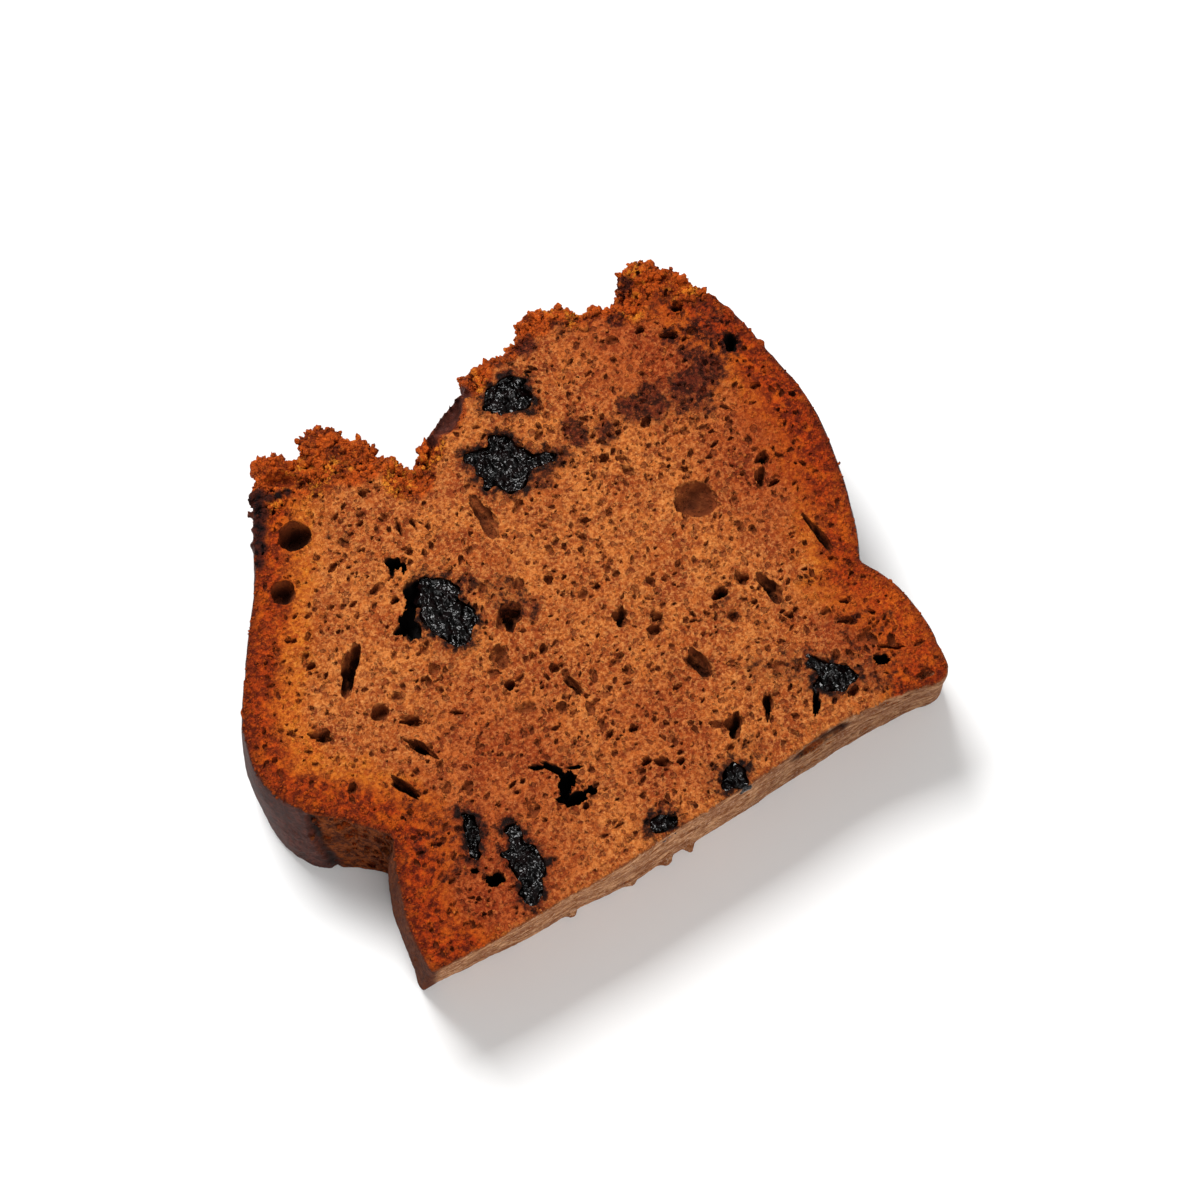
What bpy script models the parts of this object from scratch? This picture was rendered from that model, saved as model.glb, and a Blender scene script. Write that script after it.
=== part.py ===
"""A thick slice of banana bread with berries baked in, lying on its back cut face.

X runs along the loaf's flat base, Y from the base to the domed top, Z through the slice.
The origin is the middle of the slice's footprint, on the surface that it lies on.
"""
import math
import random

import bpy
import bmesh
from mathutils import Euler, Matrix, Vector, noise

MM = 0.001
THICKNESS = 22.0 * MM
GAP = 0.3 * MM
WALL_LEVELS = 4
CURVE_STEPS = 3

# The base's left corner on the cut face, from which the places below are measured in millimetres.
CORNER = Vector((-47.0, -44.1, 0.0))

# The outline of the cut face, anticlockwise. Its smooth stretches are arcs through few points.
BASE = [
    (0.0, 0.0), (8.0, -0.6), (22.0, -0.8), (36.0, -0.9), (48.0, -0.2), (60.0, -0.1), (70.0, 0.7), (81.0, 0.8),
    (90.0, -0.7),
]
HEEL_RIGHT = [(95.4, -1.4), (97.2, 5.0), (97.2, 13.5), (95.9, 18.4)]
NOTCH_RIGHT = [(93.9, 22.4)]
DOME_RIGHT = [
    (96.7, 28.3), (99.8, 38.2), (101.7, 50.3), (100.4, 61.6), (98.0, 73.6), (95.8, 77.6), (94.3, 81.4),
]
HORN = [(92.3, 83.0), (91.2, 85.8), (89.3, 86.2), (87.2, 85.2), (86.6, 82.8), (85.6, 79.8)]
LEDGE = [
    (82.6, 81.1), (80.5, 82.1), (77.4, 82.6), (74.8, 85.2), (71.3, 87.0), (68.8, 86.9), (66.9, 84.1),
    (63.0, 83.4), (60.0, 83.4), (58.3, 82.6), (57.0, 84.0), (55.5, 83.0), (55.6, 80.6), (53.7, 81.4),
]
BITE = [
    (50.4, 80.2), (46.7, 78.0), (44.3, 77.0), (43.0, 74.8), (41.5, 72.5), (39.3, 74.5), (39.0, 75.1),
    (37.7, 77.8), (36.0, 78.0),
]
PEAK = [
    (35.8, 82.4), (34.2, 83.6), (32.8, 82.4), (32.9, 85.8), (31.3, 88.2), (29.5, 88.0), (27.7, 88.2),
    (26.0, 84.6), (24.1, 84.7), (23.4, 86.2), (20.0, 88.3), (18.5, 87.3),
]
DOME_LEFT = [
    (17.3, 84.9), (15.2, 81.9), (12.4, 77.2), (9.1, 71.2), (0.4, 59.0), (-5.9, 48.4), (-7.1, 40.8),
    (-4.6, 34.4), (1.6, 28.0),
]
NOTCH_LEFT = [(6.0, 22.6)]
HEEL_LEFT = [(3.4, 15.6), (0.6, 7.0)]
SHARP = BASE[:1] + NOTCH_RIGHT + HORN + LEDGE + BITE + PEAK + NOTCH_LEFT

# Where the wall's back edge stands away from its front edge: place, reach, and shift along X and Y.
LEANS = [
    ((-3.0, 33.0), 11.0, (-2.4, -3.2)),
    ((3.4, 17.0), 8.0, (-2.1, -0.4)),
    ((0.5, 0.0), 5.0, (-1.5, 1.3)),
    ((10.0, 0.0), 8.0, (0.0, 1.7)),
    ((26.0, 0.0), 8.0, (0.0, 1.1)),
    ((75.0, 0.0), 9.0, (0.0, -0.5)),
    ((96.0, 1.0), 9.0, (2.0, 1.4)),
    ((47.0, 76.0), 8.0, (-1.6, 2.2)),
]
# The base's wall slopes in by this much at the back, and the crust bulges by this much half way.
BASE_DRAFT = 0.8
CRUST_BULGE = 0.9
# The crust's gentle waves: how long and how high.
WAVE_LENGTH = 9.0
WAVE_HEIGHT = 0.5
# The base's wall lies below the first Y, and the torn top above the second.
BASE_TOP = 5.0
TORN_FROM = 80.0
WELD = 0.02 * MM

# Berries in the cut face, each a union of lumps: place, length, width, depth and the length's turn
# from X. The photograph's level line lies at -31 degrees here.
BERRIES = {
    "berry_top": [
        ((59.7, 76.1), 7.8, 6.9, 7.0, -31), ((56.4, 76.8), 3.0, 4.3, 4.8, -31),
        ((62.1, 78.1), 4.6, 2.8, 4.5, -31), ((61.9, 74.1), 3.0, 3.8, 4.5, -31),
    ],
    "berry_upper": [
        ((53.4, 66.5), 10.2, 7.8, 8.0, -31), ((54.8, 70.0), 4.6, 3.9, 4.8, -31),
        ((59.2, 64.0), 6.2, 2.6, 4.5, -17), ((49.0, 64.8), 2.4, 3.4, 4.5, -31),
        ((49.2, 70.0), 3.6, 3.4, 5.0, -31), ((52.4, 63.2), 5.6, 3.6, 5.0, -31),
    ],
    "berry_left": [
        ((32.7, 47.9), 8.6, 8.2, 8.0, -31), ((32.8, 53.2), 7.2, 6.0, 6.5, -31),
        ((31.9, 56.0), 2.6, 3.4, 4.0, -31), ((30.3, 50.9), 4.8, 4.7, 5.5, -31),
        ((31.9, 44.7), 4.7, 3.2, 4.6, -31),
    ],
    "berry_low_small": [
        ((16.9, 15.8), 2.9, 7.2, 5.0, -27), ((17.6, 19.3), 3.7, 1.6, 3.4, -37),
        ((16.0, 13.0), 2.9, 3.4, 4.5, -31),
    ],
    "berry_low": [
        ((22.0, 6.8), 6.1, 8.7, 7.0, -15), ((22.5, 12.0), 3.5, 5.7, 6.0, -11),
        ((19.9, 2.8), 3.9, 4.8, 6.0, -39), ((20.3, 10.3), 3.3, 2.7, 5.0, -31),
    ],
    "berry_right": [
        ((80.6, 8.0), 8.1, 4.5, 6.0, -39), ((78.6, 11.7), 3.6, 2.7, 4.5, -51),
        ((77.1, 8.3), 3.0, 2.5, 4.0, -31), ((78.9, 6.6), 4.7, 2.6, 4.4, -31),
    ],
    "berry_base": [((57.8, 2.3), 4.5, 5.4, 4.6, -1), ((55.6, 1.8), 2.2, 3.2, 4.0, -31)],
    "berry_base_small": [((43.4, 1.8), 5.2, 4.0, 4.4, -11), ((45.2, 1.6), 2.6, 2.2, 3.6, -31)],
}
BERRY_SINK = 0.45 * MM
SMALL_LUMP = 4.6
# Shares of a berry's depth: its middle below the cut face, and its whole height before the cut.
BERRY_MIDDLE = 0.3
BERRY_HEIGHT = 1.4
# How much of its dome a cut berry keeps above the cut.
CUT_DOME = 0.08
BERRY_ROUGHNESS = 0.35

# Air holes in the cut face: place, length, width, depth and the turn of the length from X.
HOLES = [
    ((18.0, 73.5), 5.4, 5.2, 4.5, 0), ((11.5, 66.2), 4.3, 4.0, 3.5, 0), ((21.0, 83.2), 5.4, 3.4, 2.6, -31),
    ((76.8, 45.0), 7.2, 6.2, 2.8, -31), ((11.9, 27.9), 6.2, 1.8, 4.6, -68), ((14.7, 40.8), 3.0, 2.8, 2.4, 0),
    ((45.8, 60.3), 6.8, 3.2, 2.6, -88), ((14.2, 49.4), 7.4, 3.0, 5.0, 51), ((40.8, 43.9), 5.2, 3.9, 4.5, 40),
    ((35.8, 38.7), 4.2, 3.2, 1.6, 80), ((55.8, 34.4), 3.4, 2.6, 3.0, 60), ((79.0, 25.9), 5.2, 2.8, 4.0, -80),
    ((76.0, 29.7), 2.8, 2.0, 2.4, -70), ((71.7, 29.4), 2.6, 2.2, 3.4, 0), ((87.7, 42.8), 3.2, 2.0, 3.0, 60),
    ((89.9, 45.5), 2.4, 1.8, 3.0, 50), ((62.6, 21.0), 6.2, 3.0, 3.4, -82), ((61.9, 9.5), 4.4, 3.0, 3.6, 55),
    ((68.4, 9.6), 4.8, 1.6, 4.6, 60), ((75.2, 6.0), 4.2, 1.5, 4.0, 56), ((4.8, 42.2), 3.8, 2.4, 2.8, -31),
    ((18.3, 36.9), 3.8, 1.8, 2.6, -38), ((17.4, 32.2), 5.8, 1.6, 3.6, -62), ((34.8, 33.9), 1.9, 1.8, 2.6, 0),
    ((90.6, 29.5), 7.0, 1.5, 5.0, -86), ((43.5, 28.5), 4.6, 1.5, 3.0, -80), ((91.7, 75.2), 2.0, 2.2, 2.8, 0),
    ((86.8, 14.8), 3.4, 1.4, 1.8, -36), ((87.9, 6.3), 3.2, 2.0, 4.2, -25), ((60.9, 31.3), 2.2, 1.6, 2.0, -31),
    ((88.1, 71.5), 2.8, 1.6, 2.4, -31), ((29.2, 61.1), 3.4, 2.2, 5.0, -31), ((16.2, 7.9), 3.0, 2.6, 5.0, -31),
    ((26.0, 52.4), 4.6, 3.2, 6.0, 59), ((34.6, 15.6), 3.4, 3.0, 8.0, 55), ((33.4, 12.8), 4.6, 2.6, 7.0, -25),
    ((33.6, 18.6), 3.8, 1.4, 5.0, -60), ((36.8, 12.4), 2.4, 1.6, 4.0, -10),
]
SMALL_HOLE = 3.5
HOLE_LIFT = -0.1
HOLE_ROUGHNESS = 0.3

# A flat hollow in the base's wall, and crumbs that cling to the base's lower edge.
BASE_HOLLOW = ((72.6, -0.4, 19.2), (7.6, 2.6, 3.0))
CLINGING_CRUMBS = [((26.3, 0.9), 0.9), ((36.8, 0.2), 0.8), ((43.8, 0.0), 1.1), ((48.2, 0.1), 0.9)]

# The torn top: crumb clumps sit along this stretch of the outline.
TORN = HORN + LEDGE + BITE + PEAK
CLUMP_COUNT = 190
CLUMP_RADIUS = (0.8, 1.9)
CLUMP_SEED = 11
CLUMP_STRETCH = (0.75, 1.15)
CLUMP_ROUGHNESS = 0.25
# In clump radii: how far a middle strays from the tear, and how far it keeps from the two cut faces.
CLUMP_STRAY = (-1.1, 0.0)
CLUMP_FROM_BACK = 1.25
CLUMP_FROM_FRONT = 0.9
CRUMB_LIFT = 0.4


def place(x, y, z=0.0):
    """A point given in millimetres from the base's left corner, in metres."""
    return (CORNER + Vector((x, y, z))) * MM


def clear_scene():
    for obj in list(bpy.data.objects):
        bpy.data.objects.remove(obj, do_unlink=True)


def new_collection(name):
    group = bpy.data.collections.new(name)
    bpy.context.scene.collection.children.link(group)
    return group


def add_object(name, mesh, group):
    obj = bpy.data.objects.new(name, mesh)
    group.objects.link(obj)
    return obj


def material(name, colour, roughness):
    mat = bpy.data.materials.new(name)
    mat.use_nodes = True
    shader = mat.node_tree.nodes["Principled BSDF"]
    shader.inputs["Base Color"].default_value = (*colour, 1.0)
    shader.inputs["Roughness"].default_value = roughness
    return mat


def outline_points():
    return (BASE + HEEL_RIGHT + NOTCH_RIGHT + DOME_RIGHT + HORN + LEDGE + BITE + PEAK
            + DOME_LEFT + NOTCH_LEFT + HEEL_LEFT)


def outline_solid(group):
    """The outline as a flat curve, as thick as the slice, turned into a mesh with welded caps."""
    curve = bpy.data.curves.new("slice_outline", "CURVE")
    curve.dimensions = "2D"
    curve.fill_mode = "BOTH"
    curve.extrude = THICKNESS / 2
    points = outline_points()
    spline = curve.splines.new("BEZIER")
    spline.bezier_points.add(len(points) - 1)
    spline.use_cyclic_u = True
    spline.resolution_u = CURVE_STEPS
    for knot, (x, y) in zip(spline.bezier_points, points):
        knot.co = place(x, y)
        kind = "VECTOR" if (x, y) in SHARP else "AUTO"
        knot.handle_left_type = kind
        knot.handle_right_type = kind
    flat = add_object("slice_outline", curve, group)
    flat.location.z = THICKNESS / 2
    bpy.context.view_layer.update()
    evaluated = flat.evaluated_get(bpy.context.evaluated_depsgraph_get())
    mesh = bpy.data.meshes.new_from_object(evaluated)
    mesh.transform(flat.matrix_world)
    bpy.data.objects.remove(flat, do_unlink=True)
    return mesh


def shape_wall(mesh):
    """Rows round the wall, leaned and bulged as the loaf's side is. The cut faces stay flat."""
    bm = bmesh.new()
    bm.from_mesh(mesh)
    bmesh.ops.remove_doubles(bm, verts=bm.verts, dist=WELD)
    for level in range(1, WALL_LEVELS):
        bmesh.ops.bisect_plane(bm, geom=list(bm.verts) + list(bm.edges) + list(bm.faces), dist=WELD / 20,
                               plane_co=(0, 0, THICKNESS * level / WALL_LEVELS), plane_no=(0, 0, 1))
    for vert in bm.verts:
        depth = 1.0 - vert.co.z / THICKNESS
        spot = vert.co.xy / MM - CORNER.xy
        for centre, reach, shift in LEANS:
            nearness = math.exp(-((spot - Vector(centre)).length / reach) ** 2)
            vert.co.xy += Vector(shift) * MM * nearness * depth
        middle = math.sin(math.pi * depth)
        if spot.y < BASE_TOP:
            vert.co.y += BASE_DRAFT * MM * depth
        elif spot.y < TORN_FROM:
            vert.co.x += math.copysign(CRUST_BULGE * MM * middle, vert.co.x)
        wave = noise.noise_vector(vert.co / (WAVE_LENGTH * MM))
        vert.co.xy += wave.xy * WAVE_HEIGHT * MM * middle
    bmesh.ops.recalc_face_normals(bm, faces=bm.faces)
    bm.to_mesh(mesh)
    bm.free()
    return mesh


def lump(name, centre, size, turn, detail, roughness, seed, group):
    """A rounded, uneven lump: a ball with its points pushed in and out."""
    bm = bmesh.new()
    bmesh.ops.create_icosphere(bm, subdivisions=detail, radius=0.5)
    offset = Vector((seed * 3.7, seed * 1.3, seed * 5.1))
    for vert in bm.verts:
        vert.co *= 1.0 + roughness * noise.noise(vert.co * 3.0 + offset)
    scale = Matrix.Diagonal((*size, 1.0))
    bm.transform(Matrix.Translation(centre) @ turn.to_matrix().to_4x4() @ scale)
    mesh = bpy.data.meshes.new(name)
    bm.to_mesh(mesh)
    bm.free()
    return add_object(name, mesh, group)


def torn_clumps(group):
    """Clumps of crumb spread over the torn top by a seeded draw, evenly along its length."""
    rng = random.Random(CLUMP_SEED)
    spots = [Vector(point) for point in TORN]
    lengths = [(b - a).length for a, b in zip(spots, spots[1:])]
    total = sum(lengths)
    for index in range(CLUMP_COUNT):
        along = (index + rng.random()) / CLUMP_COUNT * total
        stretch = 0
        while along > lengths[stretch] and stretch < len(lengths) - 1:
            along -= lengths[stretch]
            stretch += 1
        spot = spots[stretch].lerp(spots[stretch + 1], along / lengths[stretch])
        radius = rng.uniform(*CLUMP_RADIUS)
        height = rng.uniform(radius * CLUMP_FROM_BACK, THICKNESS / MM - radius * CLUMP_FROM_FRONT)
        outward = rng.uniform(*CLUMP_STRAY) * radius
        centre = place(spot.x, spot.y + outward, height)
        size = [2 * radius * MM * rng.uniform(*CLUMP_STRETCH) for _ in range(3)]
        turn = Euler([rng.uniform(0, math.tau) for _ in range(3)])
        lump(f"clump_{index}", centre, size, turn, 1, CLUMP_ROUGHNESS, index, group)


def clinging_crumbs(group):
    for index, ((x, y), radius) in enumerate(CLINGING_CRUMBS):
        size = [2 * radius * MM] * 3
        centre = place(x, y, radius + CRUMB_LIFT)
        lump(f"crumb_{index}", centre, size, Euler((0, 0, index)), 1, CLUMP_ROUGHNESS, index + 40, group)


def air_holes(group):
    for index, ((x, y), length, width, depth, turn) in enumerate(HOLES):
        size = (length * MM, width * MM, 2 * depth * MM)
        centre = place(x, y, THICKNESS / MM + HOLE_LIFT)
        detail = 1 if length < SMALL_HOLE else 2
        angle = Euler((0, 0, math.radians(turn)))
        lump(f"hole_{index}", centre, size, angle, detail, HOLE_ROUGHNESS, index, group)
    centre, size = BASE_HOLLOW
    lump("hole_base", place(*centre), [side * MM for side in size], Euler(), 2, HOLE_ROUGHNESS, 70, group)


def berry_lumps(name, spread, seed, group):
    """The lumps of one berry, or with a spread of GAP those of the pocket that it sits in."""
    lumps = []
    for (x, y), length, width, depth, turn in BERRIES[name]:
        centre = place(x, y, THICKNESS / MM - BERRY_MIDDLE * depth)
        size = [side * MM + 2 * spread for side in (length, width, depth * BERRY_HEIGHT)]
        detail = 1 if max(length, width) < SMALL_LUMP else 2
        angle = Euler((0, 0, math.radians(turn)))
        lumps.append(lump(name, centre, size, angle, detail, BERRY_ROUGHNESS, seed, group))
        seed += len(BERRIES)
    return lumps


def cut_berry(obj):
    """The knife leaves a berry's top level with the cut face, or just under it."""
    top = THICKNESS - BERRY_SINK
    for vert in obj.data.vertices:
        if vert.co.z > top:
            vert.co.z = top + CUT_DOME * (vert.co.z - top)


def boolean(obj, group, operation):
    """Joins or cuts with a whole collection, applies it, and removes the collection's objects."""
    modifier = obj.modifiers.new(operation.lower(), "BOOLEAN")
    modifier.operation = operation
    modifier.operand_type = "COLLECTION"
    modifier.collection = group
    modifier.solver = "MANIFOLD"
    bpy.context.view_layer.update()
    evaluated = obj.evaluated_get(bpy.context.evaluated_depsgraph_get())
    mesh = bpy.data.meshes.new_from_object(evaluated)
    obj.modifiers.clear()
    obj.data = mesh
    for other in list(group.objects):
        bpy.data.objects.remove(other, do_unlink=True)
    bpy.data.collections.remove(group)


def keep_largest_shell(mesh):
    """Drops loose scraps and sealed hollows: every shell but the one that spans the most."""
    bm = bmesh.new()
    bm.from_mesh(mesh)
    left = set(bm.verts)
    shells = []
    while left:
        front = [left.pop()]
        shell = list(front)
        while front:
            for edge in front.pop().link_edges:
                for vert in edge.verts:
                    if vert in left:
                        left.remove(vert)
                        shell.append(vert)
                        front.append(vert)
        shells.append(shell)
    shells.sort(key=len)
    for shell in shells[:-1]:
        bmesh.ops.delete(bm, geom=shell, context="VERTS")
    bm.to_mesh(mesh)
    bm.free()


def build_slice(group, crumb):
    mesh = shape_wall(outline_solid(group))
    bread = add_object("slice", mesh, group)
    clumps = new_collection("clumps")
    torn_clumps(clumps)
    clinging_crumbs(clumps)
    boolean(bread, clumps, "UNION")
    hollows = new_collection("hollows")
    air_holes(hollows)
    for seed, name in enumerate(BERRIES):
        berry_lumps(name, GAP, seed, hollows)
    boolean(bread, hollows, "DIFFERENCE")
    keep_largest_shell(bread.data)
    bread.data.materials.clear()
    bread.data.materials.append(crumb)
    return bread


def build_berries(group, skin):
    for seed, name in enumerate(BERRIES):
        others = new_collection("lumps")
        berry = berry_lumps(name, 0.0, seed, others)[0]
        others.objects.unlink(berry)
        group.objects.link(berry)
        boolean(berry, others, "UNION")
        berry.name = name
        keep_largest_shell(berry.data)
        cut_berry(berry)
        berry.data.materials.clear()
        berry.data.materials.append(skin)
        berry.data.shade_smooth()


def main():
    clear_scene()
    group = new_collection("banana_bread")
    crumb = material("bread crumb", (0.39, 0.105, 0.023), 0.85)
    skin = material("baked berry", (0.012, 0.006, 0.006), 0.25)
    build_slice(group, crumb)
    build_berries(group, skin)


main()
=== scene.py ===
"""A thick slice of berry banana bread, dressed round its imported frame.

Names and comments give lengths in millimetres. The meshes are in metres.
"""
import math
import random

import bmesh
import bpy
import numpy as np
from mathutils import Euler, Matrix, Vector, kdtree, noise


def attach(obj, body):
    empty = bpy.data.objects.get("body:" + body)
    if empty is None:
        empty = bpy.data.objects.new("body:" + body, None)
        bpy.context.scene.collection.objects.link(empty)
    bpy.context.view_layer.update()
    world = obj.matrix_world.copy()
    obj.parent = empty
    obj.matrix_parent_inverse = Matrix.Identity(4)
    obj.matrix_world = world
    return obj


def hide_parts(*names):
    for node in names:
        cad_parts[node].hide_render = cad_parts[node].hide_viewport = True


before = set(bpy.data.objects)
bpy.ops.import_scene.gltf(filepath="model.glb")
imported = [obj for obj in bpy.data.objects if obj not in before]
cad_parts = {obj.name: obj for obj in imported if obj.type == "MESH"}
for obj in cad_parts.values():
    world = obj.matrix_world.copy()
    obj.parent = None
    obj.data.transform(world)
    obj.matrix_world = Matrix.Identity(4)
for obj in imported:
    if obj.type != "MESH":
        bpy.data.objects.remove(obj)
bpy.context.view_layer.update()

MM = 0.001
THICK = 22.0
# The bread's pieces meet at this height, and above it at these places along X.
SEAM = 3.0
STRIPS = (-27.5, -9.0, 12.0, 34.0)
MOST_TRIANGLES = 196000

# The voxels of the blank, of the bread with its clumps, of a berry, and of a berry's cutter before and
# after it is made jagged.
BLANK_CELL = 0.8
BREAD_CELL = 0.42
BERRY_CELL = 0.15
POCKET_CELLS = (0.4, 0.3)

# The base's left corner on the cut face: the places below are measured from it.
CORNER = np.array([-47.0, -44.1])

# The outline of the cut face, anticlockwise from the base.
BASE = [
    (0.0, 0.0), (8.0, -0.6), (22.0, -0.8), (36.0, -0.9), (48.0, -0.2), (60.0, -0.1), (70.0, 0.7), (81.0, 0.8),
    (90.0, -0.7),
]
HEEL_RIGHT = [(95.4, -1.4), (97.2, 5.0), (97.2, 13.5), (95.9, 18.4)]
NOTCH_RIGHT = [(93.9, 22.4)]
DOME_RIGHT = [
    (96.7, 28.3), (99.8, 38.2), (101.7, 50.3), (100.4, 61.6), (98.0, 73.6), (95.8, 77.6), (94.3, 81.4),
]
HORN = [(92.3, 83.0), (91.2, 85.8), (89.3, 86.2), (87.2, 85.2), (86.6, 82.8), (85.6, 79.8)]
LEDGE = [
    (82.6, 81.1), (80.5, 82.1), (77.4, 82.6), (74.8, 85.2), (71.3, 87.0), (68.8, 86.9), (66.9, 84.1),
    (63.0, 83.4), (60.0, 83.4), (58.3, 82.6), (57.0, 84.0), (55.5, 83.0), (55.6, 80.6), (53.7, 81.4),
]
BITE = [
    (50.4, 80.2), (46.7, 78.0), (44.3, 77.0), (43.0, 74.8), (41.5, 72.5), (39.3, 74.5), (39.0, 75.1),
    (37.7, 77.8), (36.0, 78.0),
]
PEAK = [
    (35.8, 82.4), (34.2, 83.6), (32.8, 82.4), (32.9, 85.8), (31.3, 88.2), (29.5, 88.0), (27.7, 88.2),
    (26.0, 84.6), (24.1, 84.7), (23.4, 86.2), (20.0, 88.3), (18.5, 87.3),
]
DOME_LEFT = [
    (17.3, 84.9), (15.2, 81.9), (12.4, 77.2), (9.1, 71.2), (0.4, 59.0), (-5.9, 48.4), (-7.1, 40.8),
    (-4.6, 34.4), (1.6, 28.0),
]
NOTCH_LEFT = [(6.0, 22.6)]
HEEL_LEFT = [(3.4, 15.6), (0.6, 7.0)]
TORN = HORN + LEDGE + BITE + PEAK
SHARP = BASE[:1] + NOTCH_RIGHT + TORN + NOTCH_LEFT
OUTLINE = BASE + HEEL_RIGHT + NOTCH_RIGHT + DOME_RIGHT + TORN + DOME_LEFT + NOTCH_LEFT + HEEL_LEFT

# Where the wall's back edge stands away from its front edge: place, reach, and shift along X and Y.
LEANS = [
    ((-3.0, 33.0), 11.0, (-2.4, -3.2)),
    ((3.4, 17.0), 8.0, (-2.1, -0.4)),
    ((0.5, 0.0), 5.0, (-1.5, 1.3)),
    ((10.0, 0.0), 8.0, (0.0, 1.7)),
    ((26.0, 0.0), 8.0, (0.0, 1.1)),
    ((75.0, 0.0), 9.0, (0.0, -0.5)),
    ((96.0, 1.0), 9.0, (2.0, 1.4)),
    ((47.0, 76.0), 8.0, (-1.6, 2.2)),
]
BASE_DRAFT = 0.8
CRUST_BULGE = 0.9
# The base's wall ends at this height from the base, and the bulging crust at this one.
BASE_TOP = 5.0
CRUST_TOP = 80.0

# The crust's fold on the left wall, from its top to its foot, and how deep it is.
# Beyond the fold, up to the notch, the wall stands back.
FOLD_TOP = np.array([-2.9, 33.5])
FOLD_FOOT = np.array([-2.8, 27.2])
FOLD_DEPTH = 0.9
RECESS = 0.8

# Clumps of the torn top: how many, and their smallest and largest radius. The first lie along the tear.
CLUMPS = [(420, 0.7, 1.7), (1300, 0.42, 0.85), (2300, 0.28, 0.52)]

# Crumbling places of the torn top: place, reach, and how far the cut face has sunk there.
CRUMBLING = [
    ((27.0, 86.0), 10.5, 1.5), ((33.0, 80.0), 6.0, 1.2), ((39.0, 73.0), 5.5, 1.8), ((43.5, 76.0), 4.6, 4.0),
    ((49.5, 79.6), 4.6, 4.5), ((56.5, 82.6), 4.4, 2.8), ((64.0, 85.0), 4.6, 2.0), ((70.5, 86.5), 5.2, 1.2),
    ((77.5, 84.0), 5.0, 1.4), ((84.5, 81.0), 5.5, 1.0), ((90.0, 83.5), 7.0, 1.0), ((95.5, 78.0), 5.0, 0.8),
    ((17.5, 84.0), 6.0, 1.0),
]

# Smooth round air holes in the cut face: place, length, width, depth and the length's turn from X.
BOWLS = [
    ((18.0, 73.5), 5.4, 5.2, 4.5, 0), ((11.5, 66.2), 4.3, 4.0, 3.5, 0), ((21.0, 83.2), 5.4, 3.4, 2.6, -31),
    ((76.8, 45.0), 7.2, 6.2, 2.8, -31), ((34.8, 33.9), 1.9, 1.8, 2.6, 0), ((52.7, 40.8), 1.7, 1.6, 1.0, 0),
    ((91.7, 70.1), 2.0, 1.7, 1.0, -31), ((42.4, 32.5), 1.7, 1.5, 1.8, 0), ((14.7, 40.8), 3.0, 2.8, 2.4, 0),
    ((87.6, 11.0), 2.6, 1.7, 0.9, -20), ((26.0, 46.1), 1.4, 1.3, 0.8, 0), ((25.7, 42.4), 2.2, 2.0, 0.8, 0),
    ((71.4, 25.0), 1.7, 2.0, 1.4, 0),
]

# Ragged air holes in the cut face, given in the same way.
HOLES = [
    ((45.8, 60.3), 6.8, 3.2, 2.6, -88), ((14.2, 49.4), 7.4, 3.0, 5.0, 51), ((40.8, 43.9), 5.2, 3.9, 4.5, 40),
    ((35.8, 38.7), 4.2, 3.2, 1.6, 80), ((55.8, 34.4), 3.4, 2.6, 3.0, 60), ((79.0, 25.9), 5.2, 2.8, 4.0, -80),
    ((76.0, 29.7), 2.8, 2.0, 2.4, -70), ((71.7, 29.4), 2.6, 2.2, 3.4, 0), ((87.7, 42.8), 3.2, 2.0, 3.0, 60),
    ((89.9, 45.5), 2.4, 1.8, 3.0, 50), ((62.6, 21.0), 6.2, 3.0, 3.4, -82), ((61.9, 9.5), 4.4, 3.0, 3.6, 55),
    ((68.4, 9.6), 4.8, 1.6, 4.6, 60), ((4.8, 42.2), 3.8, 2.4, 2.8, -31), ((18.3, 36.9), 3.8, 1.8, 2.6, -38),
    ((17.4, 32.2), 5.8, 1.6, 3.6, -62), ((11.9, 27.9), 6.2, 1.8, 4.6, -68), ((90.6, 29.5), 7.0, 1.5, 5.0, -86),
    ((35.1, 29.2), 2.9, 2.0, 0.9, -31), ((43.5, 28.5), 4.6, 1.5, 3.0, -80), ((60.9, 31.3), 2.2, 1.6, 2.0, -31),
    ((86.8, 14.8), 3.4, 1.4, 1.8, -36), ((91.7, 75.2), 2.0, 2.2, 2.8, 0), ((88.1, 71.5), 2.8, 1.6, 2.4, -31),
    ((84.4, 74.8), 1.5, 1.4, 2.0, 0), ((55.3, 40.8), 1.5, 1.2, 1.6, 0), ((28.3, 60.1), 1.8, 1.0, 1.8, 50),
    ((26.3, 55.7), 1.4, 1.3, 1.6, 0), ((40.5, 36.2), 1.3, 1.2, 1.0, 0), ((79.3, 20.4), 1.7, 1.2, 1.8, -31),
    ((88.1, 17.8), 1.8, 0.9, 2.0, -31), ((90.9, 13.9), 1.5, 0.8, 1.4, -60), ((90.5, 7.5), 4.0, 1.2, 1.8, -31),
    ((92.6, 0.8), 2.4, 2.0, 1.6, 0), ((25.2, 34.4), 1.8, 0.8, 1.6, -31), ((33.0, 65.9), 2.6, 0.9, 2.0, 80),
    ((35.4, 65.5), 2.3, 0.8, 1.8, 90), ((47.9, 17.5), 1.6, 1.5, 1.8, 0), ((46.9, 11.7), 1.6, 1.4, 1.8, 0),
    ((51.6, 8.9), 1.6, 1.2, 1.8, 0), ((89.2, 40.9), 2.0, 1.2, 1.8, 0), ((67.3, 17.9), 2.0, 1.2, 1.0, -60),
]

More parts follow.
